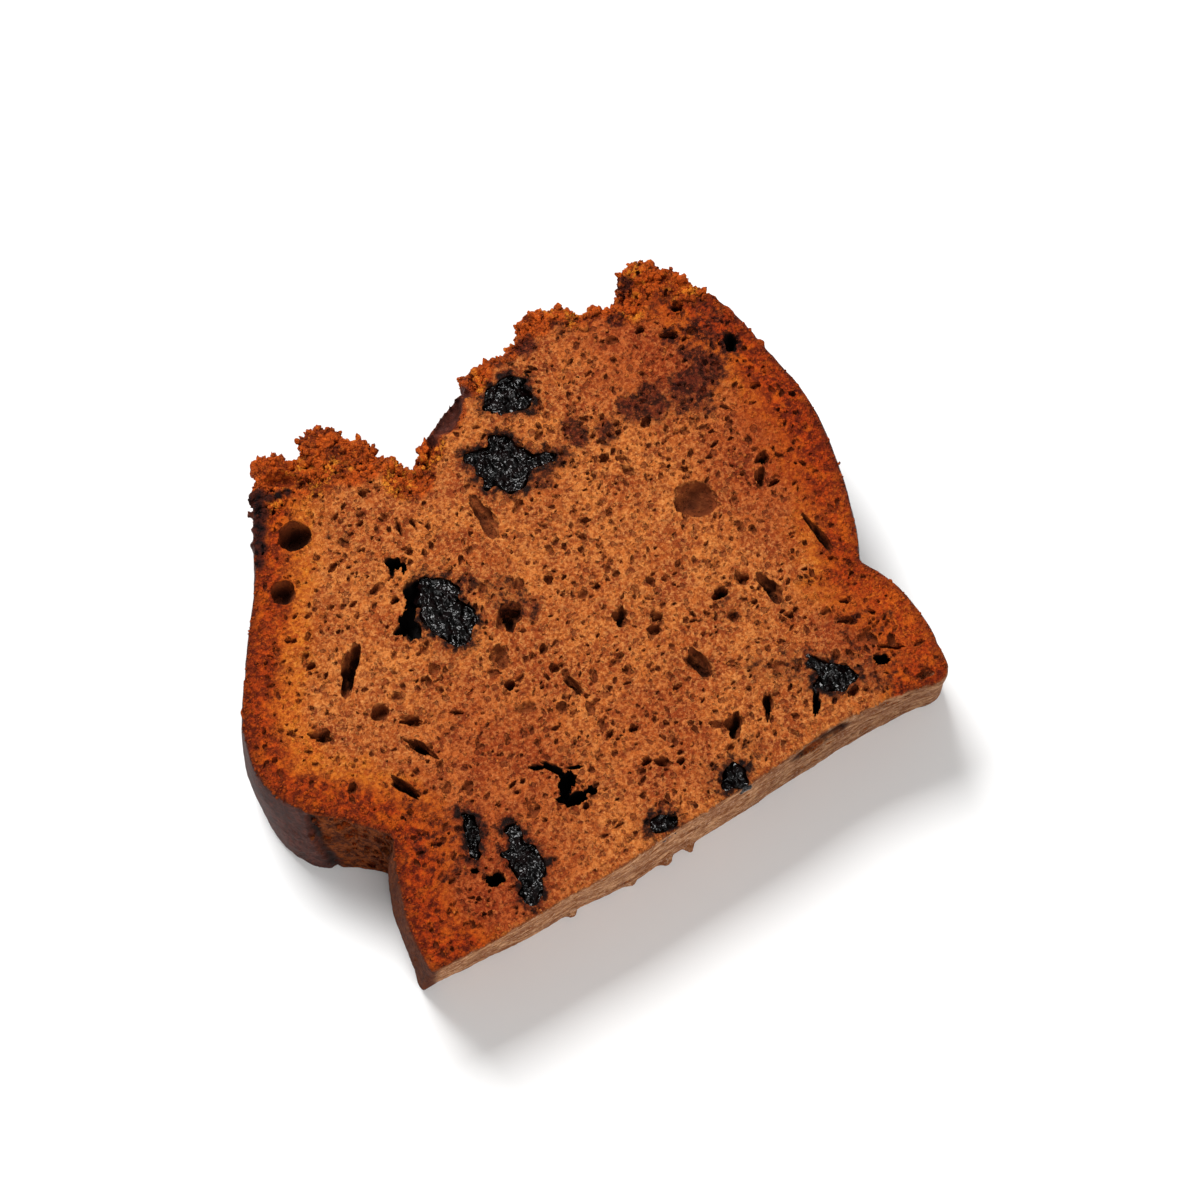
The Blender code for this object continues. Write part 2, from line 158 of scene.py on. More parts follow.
# Deep hollows that fruit left, painted near black inside as shade, given in the same way.
HOLLOWS = [
    ((29.2, 61.1), 3.4, 2.2, 5.0, -31), ((30.2, 59.6), 2.2, 1.0, 3.0, 60), ((28.9, 54.6), 5.0, 3.6, 6.0, 50),
    ((25.9, 51.0), 5.0, 3.8, 6.0, 59), ((16.2, 7.9), 3.0, 2.6, 5.0, -31), ((14.3, 10.6), 1.6, 1.0, 2.0, -31),
    ((34.6, 15.6), 3.4, 3.0, 8.0, 55), ((33.4, 12.8), 4.6, 2.6, 7.0, -25), ((33.6, 18.6), 3.8, 1.2, 5.0, -60),
    ((36.6, 16.8), 3.0, 0.8, 3.0, -20), ((36.8, 12.4), 2.2, 1.6, 4.0, -10), ((31.6, 19.9), 3.0, 1.0, 2.6, -31),
    ((75.2, 6.0), 4.2, 1.5, 4.0, 56), ((33.4, 14.5), 2.6, 2.2, 6.0, 60), ((87.9, 6.3), 3.2, 2.0, 4.2, -25),
    ((96.0, 65.2), 2.9, 2.2, 3.0, 70),
]

# A groove in the base's wall just under the cut face: its middle and its three sizes.
BASE_HOLLOW = ((73.2, 0.3, 17.8), (11.0, 5.0, 6.2))

# Dark juice in the crumb: place, reach and strength.
STAINS = [
    ((90.4, 63.9), 4.6, 1.0), ((86.4, 62.6), 4.2, 1.0), ((95.6, 64.9), 2.6, 1.0), ((66.9, 82.4), 2.6, 1.0),
    ((89.0, 67.0), 3.0, 0.8), ((83.6, 60.6), 3.0, 0.8), ((81.9, 78.4), 1.8, 0.8), ((74.0, 82.4), 3.0, 0.5),
    ((62.0, 62.5), 3.2, 0.8), ((66.0, 64.0), 2.6, 0.9), ((70.5, 62.5), 3.0, 0.8), ((76.0, 63.4), 3.4, 0.9),
    ((79.5, 61.5), 3.2, 0.9), ((57.5, 62.0), 3.6, 0.8), ((13.6, 78.4), 1.8, 0.9), ((12.2, 75.0), 1.4, 0.9),
    ((42.0, 47.5), 4.5, 0.55), ((37.5, 52.0), 3.5, 0.7), ((71.8, 26.8), 4.5, 0.4), ((44.0, 43.0), 2.6, 0.7),
    ((11.5, 24.0), 4.5, 0.35), ((8.4, 19.0), 3.2, 0.45), ((13.0, 19.5), 5.0, 0.45), ((37.0, 18.0), 5.0, 0.25),
    ((88.0, 12.0), 6.0, 0.45), ((86.5, 4.5), 6.0, 0.5), ((74.5, 13.0), 3.6, 0.6), ((70.5, 15.5), 3.4, 0.5),
    ((17.5, 12.0), 5.5, 0.35), ((12.0, 13.0), 4.5, 0.4), ((55.5, 3.0), 4.4, 0.6), ((62.0, 5.0), 3.4, 0.45),
    ((28.0, 43.0), 4.0, 0.3), ((55.0, 71.5), 3.0, 0.5), ((93.0, 71.0), 4.5, 0.6), ((24.0, 70.0), 3.0, 0.35),
    ((86.6, 83.6), 2.0, 0.9), ((41.6, 78.2), 2.2, 0.6), ((30.5, 83.0), 2.4, 0.5), ((62.0, 81.0), 3.0, 0.5),
    ((80.0, 64.2), 2.8, 0.9), ((86.0, 57.8), 2.8, 0.7), ((75.2, 64.4), 2.2, 1.0), ((65.5, 66.2), 2.8, 0.9),
    ((88.0, 71.2), 2.4, 0.8), ((96.5, 71.0), 3.0, 0.6), ((90.0, 77.5), 4.0, 0.4), ((93.6, 67.6), 2.2, 0.8),
]

# Burnt juice on the left crust, standing up in dark lumps.
BURNT = [
    ((15.8, 82.4), 1.6), ((14.6, 80.0), 1.8), ((13.2, 77.4), 1.6), ((12.0, 74.8), 1.4), ((10.7, 72.4), 0.9),
    ((17.4, 81.2), 0.9), ((19.0, 80.9), 0.8), ((20.6, 80.6), 0.7),
]

# Along the middle of the base the crumb is pale, as if it lay this much further from the crust.
PALE_SHIFT = 12.0

# Where the crumb is redder: place, reach and strength.
REDDER = [
    ((100.0, 45.0), 26.0, 1.0), ((96.0, 12.0), 20.0, 1.0), ((10.0, 10.0), 26.0, 1.0),
    ((88.0, 76.0), 24.0, 0.9), ((25.0, 22.0), 20.0, 0.7), ((50.0, 14.0), 16.0, 0.4),
]

# Where the crumb by the crust is bright orange and gold: place, reach and strength.
GOLDEN = [
    ((95.0, 12.0), 12.0, 0.8), ((98.0, 30.0), 7.0, 0.7), ((8.5, 60.0), 4.5, 0.5), ((2.5, 49.5), 4.5, 0.6),
    ((1.0, 42.0), 4.0, 0.5),
]

# Along this line in the bite the crust is whole.
WHOLE_CRUST = np.array([(46.9, 77.4), (53.7, 81.4)])

# Rough stretches of the rim: first knot, last knot, and how many crumbs stand out there.
ROUGH_RIMS = [(DOME_RIGHT[3], DOME_RIGHT[6], 110), (DOME_LEFT[3], DOME_LEFT[6], 40)]

BERRIES = ("berry_top", "berry_upper", "berry_left", "berry_low_small", "berry_low",
           "berry_right", "berry_base", "berry_base_small")

# A berry's lumps stand up, so it is set this much deeper.
BERRY_SINK = 0.35

# Clusters of crumbs that cling to the base: place and radius.
CLINGING_CRUMBS = [((26.3, 0.9), 0.9), ((36.8, 0.2), 0.8), ((43.8, 0.0), 1.1), ((48.2, 0.1), 0.9)]


# Small helpers

def activate(obj):
    bpy.ops.object.select_all(action="DESELECT")
    obj.select_set(True)
    bpy.context.view_layer.objects.active = obj


def finish_with(obj, kind, **settings):
    """Adds a modifier with these settings and applies it. Out of view, it is worked out only once."""
    activate(obj)
    modifier = obj.modifiers.new(kind.lower(), kind)
    modifier.show_viewport = False
    for key, value in settings.items():
        setattr(modifier, key, value)
    bpy.ops.object.modifier_apply(modifier=modifier.name)


def remesh(obj, cell):
    finish_with(obj, "REMESH", mode="VOXEL", voxel_size=cell * MM)


def remove(obj):
    bpy.data.objects.remove(obj, do_unlink=True)


def read(items, key, width, kind=float):
    """Rows of width values, one from each of a mesh's points, edges, corners or faces."""
    values = np.empty(len(items) * width, kind)
    items.foreach_get(key, values)
    return values.reshape(-1, width)


def coords(mesh):
    return read(mesh.vertices, "co", 3)


def set_coords(mesh, points):
    mesh.vertices.foreach_set("co", points.ravel())
    mesh.update()


def normals(mesh):
    return read(mesh.vertex_normals, "vector", 3)


def places(points):
    """Where points lie on the cut face, from the base's left corner."""
    return points[:, :2] / MM - CORNER


def at(x, y, z=0.0):
    """A place given from the base's left corner, in the frame's millimetres."""
    return np.array([CORNER[0] + x, CORNER[1] + y, z])


def ripple(points, size, seed):
    """Soft noise from -1 to 1 at each point, its bumps about size millimetres across."""
    scaled = points / (size * MM) + seed
    return np.array([noise.noise(Vector(p)) for p in scaled])


def smooth_step(values, low, high):
    t = np.clip((values - low) / (high - low), 0.0, 1.0)
    return t * t * (3.0 - 2.0 * t)


def new_mesh_object(name, verts, faces):
    mesh = bpy.data.meshes.new(name)
    mesh.from_pydata(verts.tolist(), [], faces.tolist())
    mesh.update()
    obj = bpy.data.objects.new(name, mesh)
    bpy.context.scene.collection.objects.link(obj)
    return obj


def ball_template(detail, rough, seed):
    """One uneven ball of radius 1, as points and faces, to be copied many times."""
    bpy.ops.object.select_all(action="DESELECT")
    bpy.ops.mesh.primitive_ico_sphere_add(subdivisions=detail, radius=1.0)
    ball = bpy.context.active_object
    points = coords(ball.data)
    push = ripple(points * MM, 0.75, seed * 7.3) + 0.4 * ripple(points * MM, 0.32, seed * 3.1)
    if detail > 3:
        push += 0.25 * ripple(points * MM, 0.14, seed * 1.7)
    points *= (1.0 + rough * push)[:, None]
    faces = np.array([list(face.vertices) for face in ball.data.polygons])
    remove(ball)
    return points, faces


def scatter(name, spots, detail, rough, seed):
    """A joined mesh of uneven balls. A spot is (centre, three half sizes, three turns)."""
    rng = random.Random(seed)
    templates = [ball_template(detail, rough, seed + k) for k in range(6)]
    verts = []
    faces = []
    start = 0
    for centre, sizes, turns in spots:
        points, tris = rng.choice(templates)
        turn = np.array(Euler(turns).to_matrix())
        verts.append((points * sizes) @ turn.T + centre)
        faces.append(tris + start)
        start += len(points)
    return new_mesh_object(name, np.concatenate(verts) * MM, np.concatenate(faces))


def join(first, *others):
    activate(first)
    for other in others:
        other.select_set(True)
    bpy.ops.object.join()
    return first


def cut_away(obj, cutter):
    finish_with(obj, "BOOLEAN", operation="DIFFERENCE", solver="MANIFOLD", object=cutter)
    remove(cutter)


def join_on(obj, addition):
    finish_with(obj, "BOOLEAN", operation="UNION", solver="MANIFOLD", object=addition)
    remove(addition)


def keep_largest(obj):
    """Drops loose scraps and sealed hollows: every shell but the one with the most points."""
    name = obj.name
    activate(obj)
    bpy.ops.object.mode_set(mode="EDIT")
    bpy.ops.mesh.select_all(action="SELECT")
    bpy.ops.mesh.separate(type="LOOSE")
    bpy.ops.object.mode_set(mode="OBJECT")
    shells = sorted(bpy.context.selected_objects, key=lambda shell: len(shell.data.vertices))
    kept = shells.pop()
    for shell in shells:
        remove(shell)
    kept.name = name
    return kept


# The outline as a smooth closed line

def outline_line():
    """Points along the outline, every 0.8 mm or so."""
    bpy.ops.object.select_all(action="DESELECT")
    bpy.ops.curve.primitive_bezier_circle_add()
    curve = bpy.context.active_object
    spline = curve.data.splines[0]
    spline.bezier_points.add(len(OUTLINE) - len(spline.bezier_points))
    spline.resolution_u = 16
    for knot, (x, y) in zip(spline.bezier_points, OUTLINE):
        knot.co = (x, y, 0.0)
        kind = "VECTOR" if (x, y) in SHARP else "AUTO"
        knot.handle_left_type = kind
        knot.handle_right_type = kind
    bpy.context.view_layer.update()
    activate(curve)
    bpy.ops.object.convert(target="MESH")
    curve = bpy.context.active_object
    raw = coords(curve.data)[:, :2]
    remove(curve)
    closed = np.vstack([raw, raw[:1]])
    gaps = np.linalg.norm(np.diff(closed, axis=0), axis=1)
    along = np.concatenate([[0.0], np.cumsum(gaps)])
    spots = np.linspace(0.0, along[-1], int(along[-1] / 0.8), endpoint=False)
    return np.stack([np.interp(spots, along, closed[:, k]) for k in (0, 1)], axis=1)


def stretch(first, last):
    """Which points of the outline lie from one of its knots to a later one."""
    start = np.argmin(np.linalg.norm(LINE - first, axis=1))
    end = np.argmin(np.linalg.norm(LINE - last, axis=1))
    index = np.arange(len(LINE))
    return (index >= start) & (index <= end)


LINE = outline_line()
TORN_LINE = LINE[stretch(TORN[0], TORN[-1])]
CRUST_LINE = LINE[~stretch(TORN[0], TORN[-1])]
ALONG = np.roll(LINE, -1, axis=0) - np.roll(LINE, 1, axis=0)
OUTWARD = np.stack([ALONG[:, 1], -ALONG[:, 0]], axis=1) / np.linalg.norm(ALONG, axis=1)[:, None]


def nearest(spots, line):
    """For each place, how far the nearest of a line's points is, and that point's number."""
    tree = kdtree.KDTree(len(line))
    for index, (x, y) in enumerate(line):
        tree.insert((x, y, 0.0), index)
    tree.balance()
    found = [tree.find((x, y, 0.0)) for x, y in spots]
    return np.array([hit[2] for hit in found]), np.array([hit[1] for hit in found])


def off_line(spots, ends):
    """How far each place is from the straight line between two ends."""
    way = ends[1] - ends[0]
    share = np.clip((spots - ends[0]) @ way / (way @ way), 0.0, 1.0)
    return np.linalg.norm(spots - ends[0] - np.outer(share, way), axis=1)


def inside_outline(spots):
    """Which places lie inside the outline: an even-odd count of its crossings."""
    x, y = spots[:, 0], spots[:, 1]
    inside = np.zeros(len(spots), bool)
    for (x0, y0), (x1, y1) in zip(LINE, np.roll(LINE, -1, axis=0)):
        if y0 == y1:
            continue
        crosses = (y0 > y) != (y1 > y)
        inside ^= crosses & (x < (x1 - x0) * (y - y0) / (y1 - y0) + x0)
    return inside


def sunk(spots):
    """How far the cut face has crumbled away at each place, and how crumbly the place is."""
    depth = np.zeros(len(spots))
    crumbly = np.zeros(len(spots))
    for centre, reach, sink in CRUMBLING:
        away = np.linalg.norm(spots - centre, axis=1) / reach
        fade = 1.0 - smooth_step(away, 0.2, 1.0)
        depth = np.maximum(depth, sink * fade)
        crumbly = np.maximum(crumbly, 1.0 - smooth_step(away, 0.55, 1.05))
    edge = 1.0 - smooth_step(nearest(spots, TORN_LINE)[0], 0.0, 3.6)
    return depth + 1.6 * edge ** 2, np.maximum(crumbly, edge)


# The bread's form

def raise_blank():
    """The outline drawn up to the slice's thickness."""
    bpy.ops.object.select_all(action="DESELECT")
    bpy.ops.mesh.primitive_circle_add(vertices=len(LINE), radius=1.0, fill_type="NGON")
    blank = bpy.context.active_object
    blank.name = "bread"
    points = np.zeros((len(LINE), 3))
    points[:, :2] = (CORNER + LINE) * MM
    set_coords(blank.data, points)
    bpy.ops.object.mode_set(mode="EDIT")
    bpy.ops.mesh.select_all(action="SELECT")
    bpy.ops.mesh.extrude_region_move(TRANSFORM_OT_translate={"value": (0, 0, THICK * MM)})
    bpy.ops.mesh.select_all(action="SELECT")
    bpy.ops.mesh.normals_make_consistent(inside=False)
    bpy.ops.object.mode_set(mode="OBJECT")
    remesh(blank, BLANK_CELL)
    return blank


def leaning(spots, depth):
    """How far the wall stands away from its front edge, from 0 at the front to 1 at the back."""
    shift = np.zeros((len(spots), 2))
    for centre, reach, way in LEANS:
        near = np.exp(-(np.linalg.norm(spots - centre, axis=1) / reach) ** 2)
        shift += np.outer(near * depth, way)
    shift[:, 1] += np.where(spots[:, 1] < BASE_TOP, BASE_DRAFT * depth, 0.0)
    return shift


def lean_wall(obj):
    """The loaf's own side: back edge off the front edge, a slight bulge half way, gentle waves."""
    points = coords(obj.data)
    depth = 1.0 - points[:, 2] / (THICK * MM)
    spots = places(points)
    points[:, :2] += leaning(spots, depth) * MM
    middle = np.sin(np.pi * np.clip(depth, 0.0, 1.0))
    edge = np.exp(-nearest(spots, CRUST_LINE)[0] / 4.0)
    side = (spots[:, 1] >= BASE_TOP) & (spots[:, 1] < CRUST_TOP)
    points[:, 0] += np.where(side, np.sign(points[:, 0]) * CRUST_BULGE * MM * middle * edge, 0.0)
    points[:, 0] += ripple(points, 9.0, 3.1) * 0.5 * MM * middle * edge
    points[:, 1] += ripple(points, 9.0, 8.7) * 0.5 * MM * middle * edge
    set_coords(obj.data, points)


def crumble_face(obj):
    """Where the top was torn, the cut face has crumbled away towards the tear."""
    points = coords(obj.data)
    spots = places(points)
    wave = 1.0 + 0.5 * ripple(points * [1, 1, 0], 3.4, 5.5) + 0.4 * ripple(points * [1, 1, 0], 1.7, 1.5)
    drop = sunk(spots)[0] * np.clip(wave, 0.2, 1.9)
    front = points[:, 2] > (THICK - 1.0) * MM
    points[:, 2] -= np.where(front, drop * MM, 0.0)
    set_coords(obj.data, points)


def turns(rng):
    return [rng.uniform(0, math.tau) for _ in range(3)]


def lumpy(centre, radius, rng):
    """An uneven clump of about this radius."""
    return centre, [radius * rng.uniform(0.75, 1.25) for _ in range(3)], turns(rng)


def torn_spots():
    """Clumps of three sizes: the large lie along the tear, and each smaller one clings to a larger."""
    rng = random.Random(11)
    (count, low, high), *smaller = CLUMPS
    start = int(np.argmin(np.linalg.norm(LINE - TORN_LINE[0], axis=1)))
    clumps = []
    bare = off_line(LINE, WHOLE_CRUST) < 1.2
    for _ in range(count):
        k = start + rng.randrange(1, len(TORN_LINE) - 1)
        if bare[k]:
            continue
        radius = rng.uniform(low, high)
        spot = LINE[k] + OUTWARD[k] * rng.uniform(-1.2, -0.15) * radius
        top = THICK - radius - sunk(np.array([LINE[k] - OUTWARD[k]]))[0][0] * 0.7
        clumps.append((at(spot[0], spot[1], rng.uniform(radius * 1.1, top)), radius))
    parents = clumps
    for count, low, high in smaller:
        children = []
        for _ in range(count):
            centre, radius = rng.choice(parents)
            way = Vector([rng.gauss(0, 1) for _ in range(3)]).normalized()
            child = rng.uniform(low, high)
            spot = centre + np.array(way) * radius * 0.95
            if child * 1.2 < spot[2] < THICK + 0.3:
                children.append((spot, child))
        clumps = clumps + children
        parents = children + parents[: len(parents) // 3]
    return [lumpy(centre, radius, rng) for centre, radius in clumps]


def draws_inside(rng, count):
    """Places drawn from the outline's box, less those that fall outside the outline."""
    low, high = LINE.min(axis=0), LINE.max(axis=0)
    draws = np.array([[rng.uniform(low[k], high[k]) for k in (0, 1)] for _ in range(count)])
    return draws[inside_outline(draws)]


def granule_spots(count, seed):
    """Loose crumbs on the crumbling parts of the cut face and along the rim."""
    rng = random.Random(seed)
    draws = draws_inside(rng, count)
    sink, crumbly = sunk(draws)
    rim = nearest(draws, CRUST_LINE)[0]
    crumbly *= smooth_step(off_line(draws, WHOLE_CRUST), 1.8, 3.2)
    spots = []
    for (x, y), down, loose, edge in zip(draws, sink, crumbly, rim):
        if rng.random() > max(loose, 0.5 * math.exp(-(edge / 1.2) ** 2)):
            continue
        radius = 0.34 + 0.75 * rng.random() ** 2.4 * loose
        spots.append(lumpy(at(x, y, THICK - down - radius * rng.uniform(0.1, 0.7)), radius, rng))
    return spots


def burnt_spots():
    """Lumps of burnt juice on the left crust."""
    rng = random.Random(4)
    spots = []
    for (x, y), radius in BURNT:
        for _ in range(12):
            centre = at(x + rng.gauss(0, radius * 0.5), y + rng.gauss(0, radius * 0.5))
            centre[2] = THICK - rng.uniform(0.2, 2.5)
            spots.append(lumpy(centre, rng.uniform(0.3, 0.65), rng))
    return spots


def rim_spots():
    """Crumbs that stand out along the rough parts of the rim."""
    rng = random.Random(21)
    spots = []
    for first, last, count in ROUGH_RIMS:
        chosen = np.nonzero(stretch(first, last))[0]
        for _ in range(count):
            k = chosen[rng.randrange(len(chosen))]
            radius = 0.24 + 0.6 * rng.random() ** 2.5
            spot = LINE[k] + OUTWARD[k] * rng.uniform(-1.4, -0.1) * radius
            spots.append(lumpy(at(spot[0], spot[1], THICK - rng.uniform(0.1, 3.2)), radius, rng))
    return spots


def clinging_spots():
    """Crumbs along the base's lower edge."""
    rng = random.Random(9)
    spots = []
    for (x, y), radius in CLINGING_CRUMBS:
        for _ in range(5):
            spot = [rng.uniform(-0.7, 0.7) * radius, rng.uniform(-0.2, 0.5) * radius]
            centre = at(x + spot[0], y + spot[1], rng.uniform(0.8, 1.6) * radius)
            spots.append(lumpy(centre, rng.uniform(0.5, 0.8) * radius, rng))
    return spots


def roughen(obj):
    """Crumb, rim and crust are each uneven in their own way."""
    points = coords(obj.data)
    out = normals(obj.data)
    spots = places(points)
    rim = nearest(spots, CRUST_LINE)[0]
    crumbly = sunk(spots)[1]
    face = smooth_step(np.abs(out[:, 2]), 0.4, 0.8)
    crust = (1.0 - face) * np.exp(-(rim / 2.5) ** 2) * (1.0 - crumbly)
    whole = 1.0 - smooth_step(off_line(spots, WHOLE_CRUST), 1.6, 2.8)
    crumbly *= 1.0 - whole
    crust = np.maximum(crust, whole)
    rolling = ripple(points, 6.0, 2.9)
    coarse = ripple(points, 3.0, 7.7)
    fine = ripple(points, 1.0, 2.2)
    finer = ripple(points, 0.75, 6.1)
    push = 0.22 * rolling + 0.2 * coarse + 0.16 * fine + 0.1 * finer
    push += crumbly * (0.25 * coarse + 0.32 * fine + 0.24 * finer)
    push *= 1.0 - 0.75 * crust
    push += crust * 0.12 * ripple(points, 5.0, 4.0)
    push = np.where(points[:, 2] < 0.7 * MM, -np.abs(push) * 0.6, push)
    fold = fold_masks(points)
    push -= FOLD_DEPTH * fold[0] + RECESS * fold[1] * (1.0 - face)
    set_coords(obj.data, points + out * push[:, None] * MM)


def fold_masks(points):
    """How much each point lies in the fold on the left wall, in the recess beyond it, and beyond it."""
    height = np.clip(points[:, 2] / (THICK * MM), 0.0, 1.0)
    spots = places(points)
    fold = FOLD_FOOT + np.outer(height, FOLD_TOP - FOLD_FOOT)
    away = np.linalg.norm(spots - fold, axis=1)
    away += 0.3 * ripple(points, 2.0, 6.6)
    crease = np.exp(-(away / 0.6) ** 2) * smooth_step(THICK - points[:, 2] / MM, 0.8, 2.0)
    beyond = smooth_step(fold[:, 1] - spots[:, 1] + 0.4 * ripple(points, 1.8, 4.4), 0.0, 0.8)
    beyond *= smooth_step(spots[:, 1], 19.5, 22.5) * smooth_step(10.0 - spots[:, 0], 0.0, 2.0)
    uneven = THICK - points[:, 2] / MM + 1.2 * ripple(points, 3.0, 7.4)
    recess = beyond * smooth_step(uneven, 0.6, 2.2) * smooth_step(points[:, 2] / MM, 0.3, 4.0)
    return crease, recess, beyond


# Pores and crumbs

def batches(spots):
    """Splits pores or crumbs into groups whose members don't touch, as a cutter may not cross itself."""
    groups = []
    for centre, sizes, angle in spots:
        reach = max(sizes) * 1.15
        for group in groups:
            away = np.linalg.norm(np.array(group["centres"]) - centre, axis=1)
            if (away > np.array(group["reaches"]) + reach).all():
                break
        else:
            group = {"centres": [], "reaches": [], "spots": []}
            groups.append(group)
        group["centres"].append(centre)
        group["reaches"].append(reach)
        group["spots"].append((centre, sizes, angle))
    return [group["spots"] for group in groups]


def each_batch(work, obj, spots, detail, rough, seed):
    """Joins balls on, or cuts them away, a batch at a time."""
    for number, group in enumerate(batches(spots)):
        work(obj, scatter("balls", group, detail, rough, seed + number))


def pore_field(count, smallest, largest, height, seed, margin):
    """Seeded pores over a cut face, many small and few large. Few of them lie near the crust."""
    rng = random.Random(seed)
    draws = draws_inside(rng, count * 2)
    edge = nearest(draws, LINE)[0]
    down = sunk(draws)[0] if height > 1.0 else np.zeros(len(draws))
    spots = []
    for (x, y), away, sink in zip(draws, edge, down):
        if len(spots) >= count:
            break
        radius = smallest * (largest / smallest) ** (rng.random() ** 2.0)
        if away < margin + radius or rng.random() > 0.25 + away / 6.0:
            continue
        long = rng.uniform(1.0, 1.7)
        sizes = (radius * long, radius / math.sqrt(long), radius * rng.uniform(0.9, 1.8))
        turn = math.radians(rng.gauss(60.0, 50.0))
        lift = rng.uniform(-0.35, 0.3) * radius
        tilt = rng.uniform(-0.4, 0.4)
        spots.append((at(x, y, height - sink + lift), sizes, (tilt, -tilt, turn)))
    return spots


def wall_field(count, first, last, smallest, largest, seed):
    """Pores in the wall between two knots of the outline, drawn out along it."""
    rng = random.Random(seed)
    chosen = np.nonzero(stretch(first, last))[0]
    spots = []
    for _ in range(count):
        k = chosen[rng.randrange(len(chosen))]
        radius = smallest * (largest / smallest) ** (rng.random() ** 2.0)
        height = rng.uniform(2.0, THICK - 1.2)
        lean = leaning(LINE[k:k + 1], np.array([1.0 - height / THICK]))[0]
        spot = LINE[k] + lean + OUTWARD[k] * rng.uniform(-0.2, 0.3) * radius
        sizes = (radius * rng.uniform(1.2, 2.2), radius, radius * 0.8)
        turn = math.atan2(ALONG[k][1], ALONG[k][0])
        spots.append((at(spot[0], spot[1], height), sizes, (0.0, rng.uniform(-0.3, 0.3), turn)))
    return spots


def hole_spots(holes):
    """Holes placed one by one, their middles just under the cut face."""
    spots = []
    for (x, y), length, width, depth, turn in holes:
        spots.append((at(x, y, THICK - 0.1), (length / 2, width / 2, depth), (0.0, 0.0, math.radians(turn))))
    return spots


def crumbs_on(obj, weight, count, low, high, seed):
    """Small crumbs half sunk in the surface, drawn from its points by weight."""
    rng = random.Random(seed)
    points = coords(obj.data) / MM
    out = normals(obj.data)
    chosen = rng.choices(range(len(points)), cum_weights=np.cumsum(weight).tolist(), k=count)
    spots = []
    for k in chosen:
        radius = low + (high - low) * rng.random() ** 2
        centre = points[k] + out[k] * rng.uniform(-0.35, 0.35) * radius
        if centre[2] > 1.0 + radius:
            spots.append(lumpy(centre, radius, rng))
    return spots


def spikes_on_tear(count, seed):
    """Thin crumbs that point out of the torn edge."""
    rng = random.Random(seed)
    chosen = np.nonzero(stretch(TORN[0], TORN[-1]) & (off_line(LINE, WHOLE_CRUST) > 1.5))[0]
    spots = []
    for _ in range(count):
        k = chosen[rng.randrange(len(chosen))]
        radius = rng.uniform(0.26, 0.5)
        turn = math.atan2(OUTWARD[k][1], OUTWARD[k][0]) + rng.gauss(0.0, 0.6)
        height = THICK - sunk(LINE[k:k + 1])[0][0] - rng.uniform(0.2, 5.0)
        spot = LINE[k] + OUTWARD[k] * rng.uniform(0.0, 0.5)
        sizes = [radius * rng.uniform(2.0, 3.4), radius, radius]
        tilts = [rng.uniform(-0.4, 0.4), rng.gauss(0.0, 0.4), turn]
        spots.append((at(spot[0], spot[1], height), sizes, tilts))
    return spots


def add_crumbs(obj):
    """Sharp crumbs on the torn top, along the rim, in the recess and over the cut face."""
    points = coords(obj.data)
    spots = places(points)
    crumbly = sunk(spots)[1] * smooth_step(off_line(spots, WHOLE_CRUST), 2.0, 3.4)
    rim = nearest(spots, CRUST_LINE)[0]
    face = smooth_step(normals(obj.data)[:, 2], 0.3, 0.8) * (points[:, 2] > (THICK - 2.0) * MM)
    recess = fold_masks(points)[1] * (rim < 2.0)
    upper = smooth_step(points[:, 2] / MM, 3.0, 12.0)
    torn = crumbs_on(obj, crumbly ** 2 * upper + 0.4 * recess, count=1500, low=0.26, high=0.8, seed=31)
    weight = face * (0.2 + np.exp(-(rim / 3.0) ** 2) + crumbly)
    fine = crumbs_on(obj, weight, count=3200, low=0.16, high=0.36, seed=33)
    each_batch(join_on, obj, torn + spikes_on_tear(count=150, seed=32), detail=2, rough=0.7, seed=100)
    each_batch(join_on, obj, fine, detail=1, rough=0.5, seed=140)


def cut_pores(obj):
    """The groove, the holes placed one by one, and then seeded pores in front, in the walls and at the back.
    """
    (x, y, z), sizes = BASE_HOLLOW
    groove = [(at(x, y, z), [side / 2 for side in sizes], (0.0, -0.1, -0.02))]
    for spots, detail, rough, seed in (
        (groove, 4, 0.35, 15),
        (hole_spots(BOWLS), 4, 0.2, 18),
        (hole_spots(HOLES), 4, 0.45, 20),
        (hole_spots(HOLLOWS), 4, 0.6, 30),
        (pore_field(170, 0.5, 1.0, height=THICK, seed=5, margin=1.8), 3, 0.5, 40),
        (pore_field(1700, 0.26, 0.6, height=THICK, seed=6, margin=1.0), 2, 0.5, 60),
        (wall_field(170, BASE[0], BASE[-1], 0.25, 0.7, seed=8), 2, 0.5, 70),
        (wall_field(50, DOME_LEFT[-1], NOTCH_LEFT[0], 0.25, 0.6, seed=9), 2, 0.5, 75),
        (pore_field(130, 0.6, 1.6, height=0.0, seed=7, margin=1.8), 3, 0.5, 80),
        (pore_field(900, 0.3, 0.6, height=0.0, seed=10, margin=1.0), 1, 0.5, 90),
    ):
        each_batch(cut_away, obj, spots, detail, rough, seed)


def berry_copy(name):
    """A merged copy of a berry's solid."""
    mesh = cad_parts[name].data.copy()
    bm = bmesh.new()
    bm.from_mesh(mesh)
    bmesh.ops.remove_doubles(bm, verts=bm.verts, dist=0.02 * MM)
    bm.to_mesh(mesh)
    bm.free()
    mesh.materials.clear()
    obj = bpy.data.objects.new(name + "_form", mesh)
    bpy.context.scene.collection.objects.link(obj)
    return obj


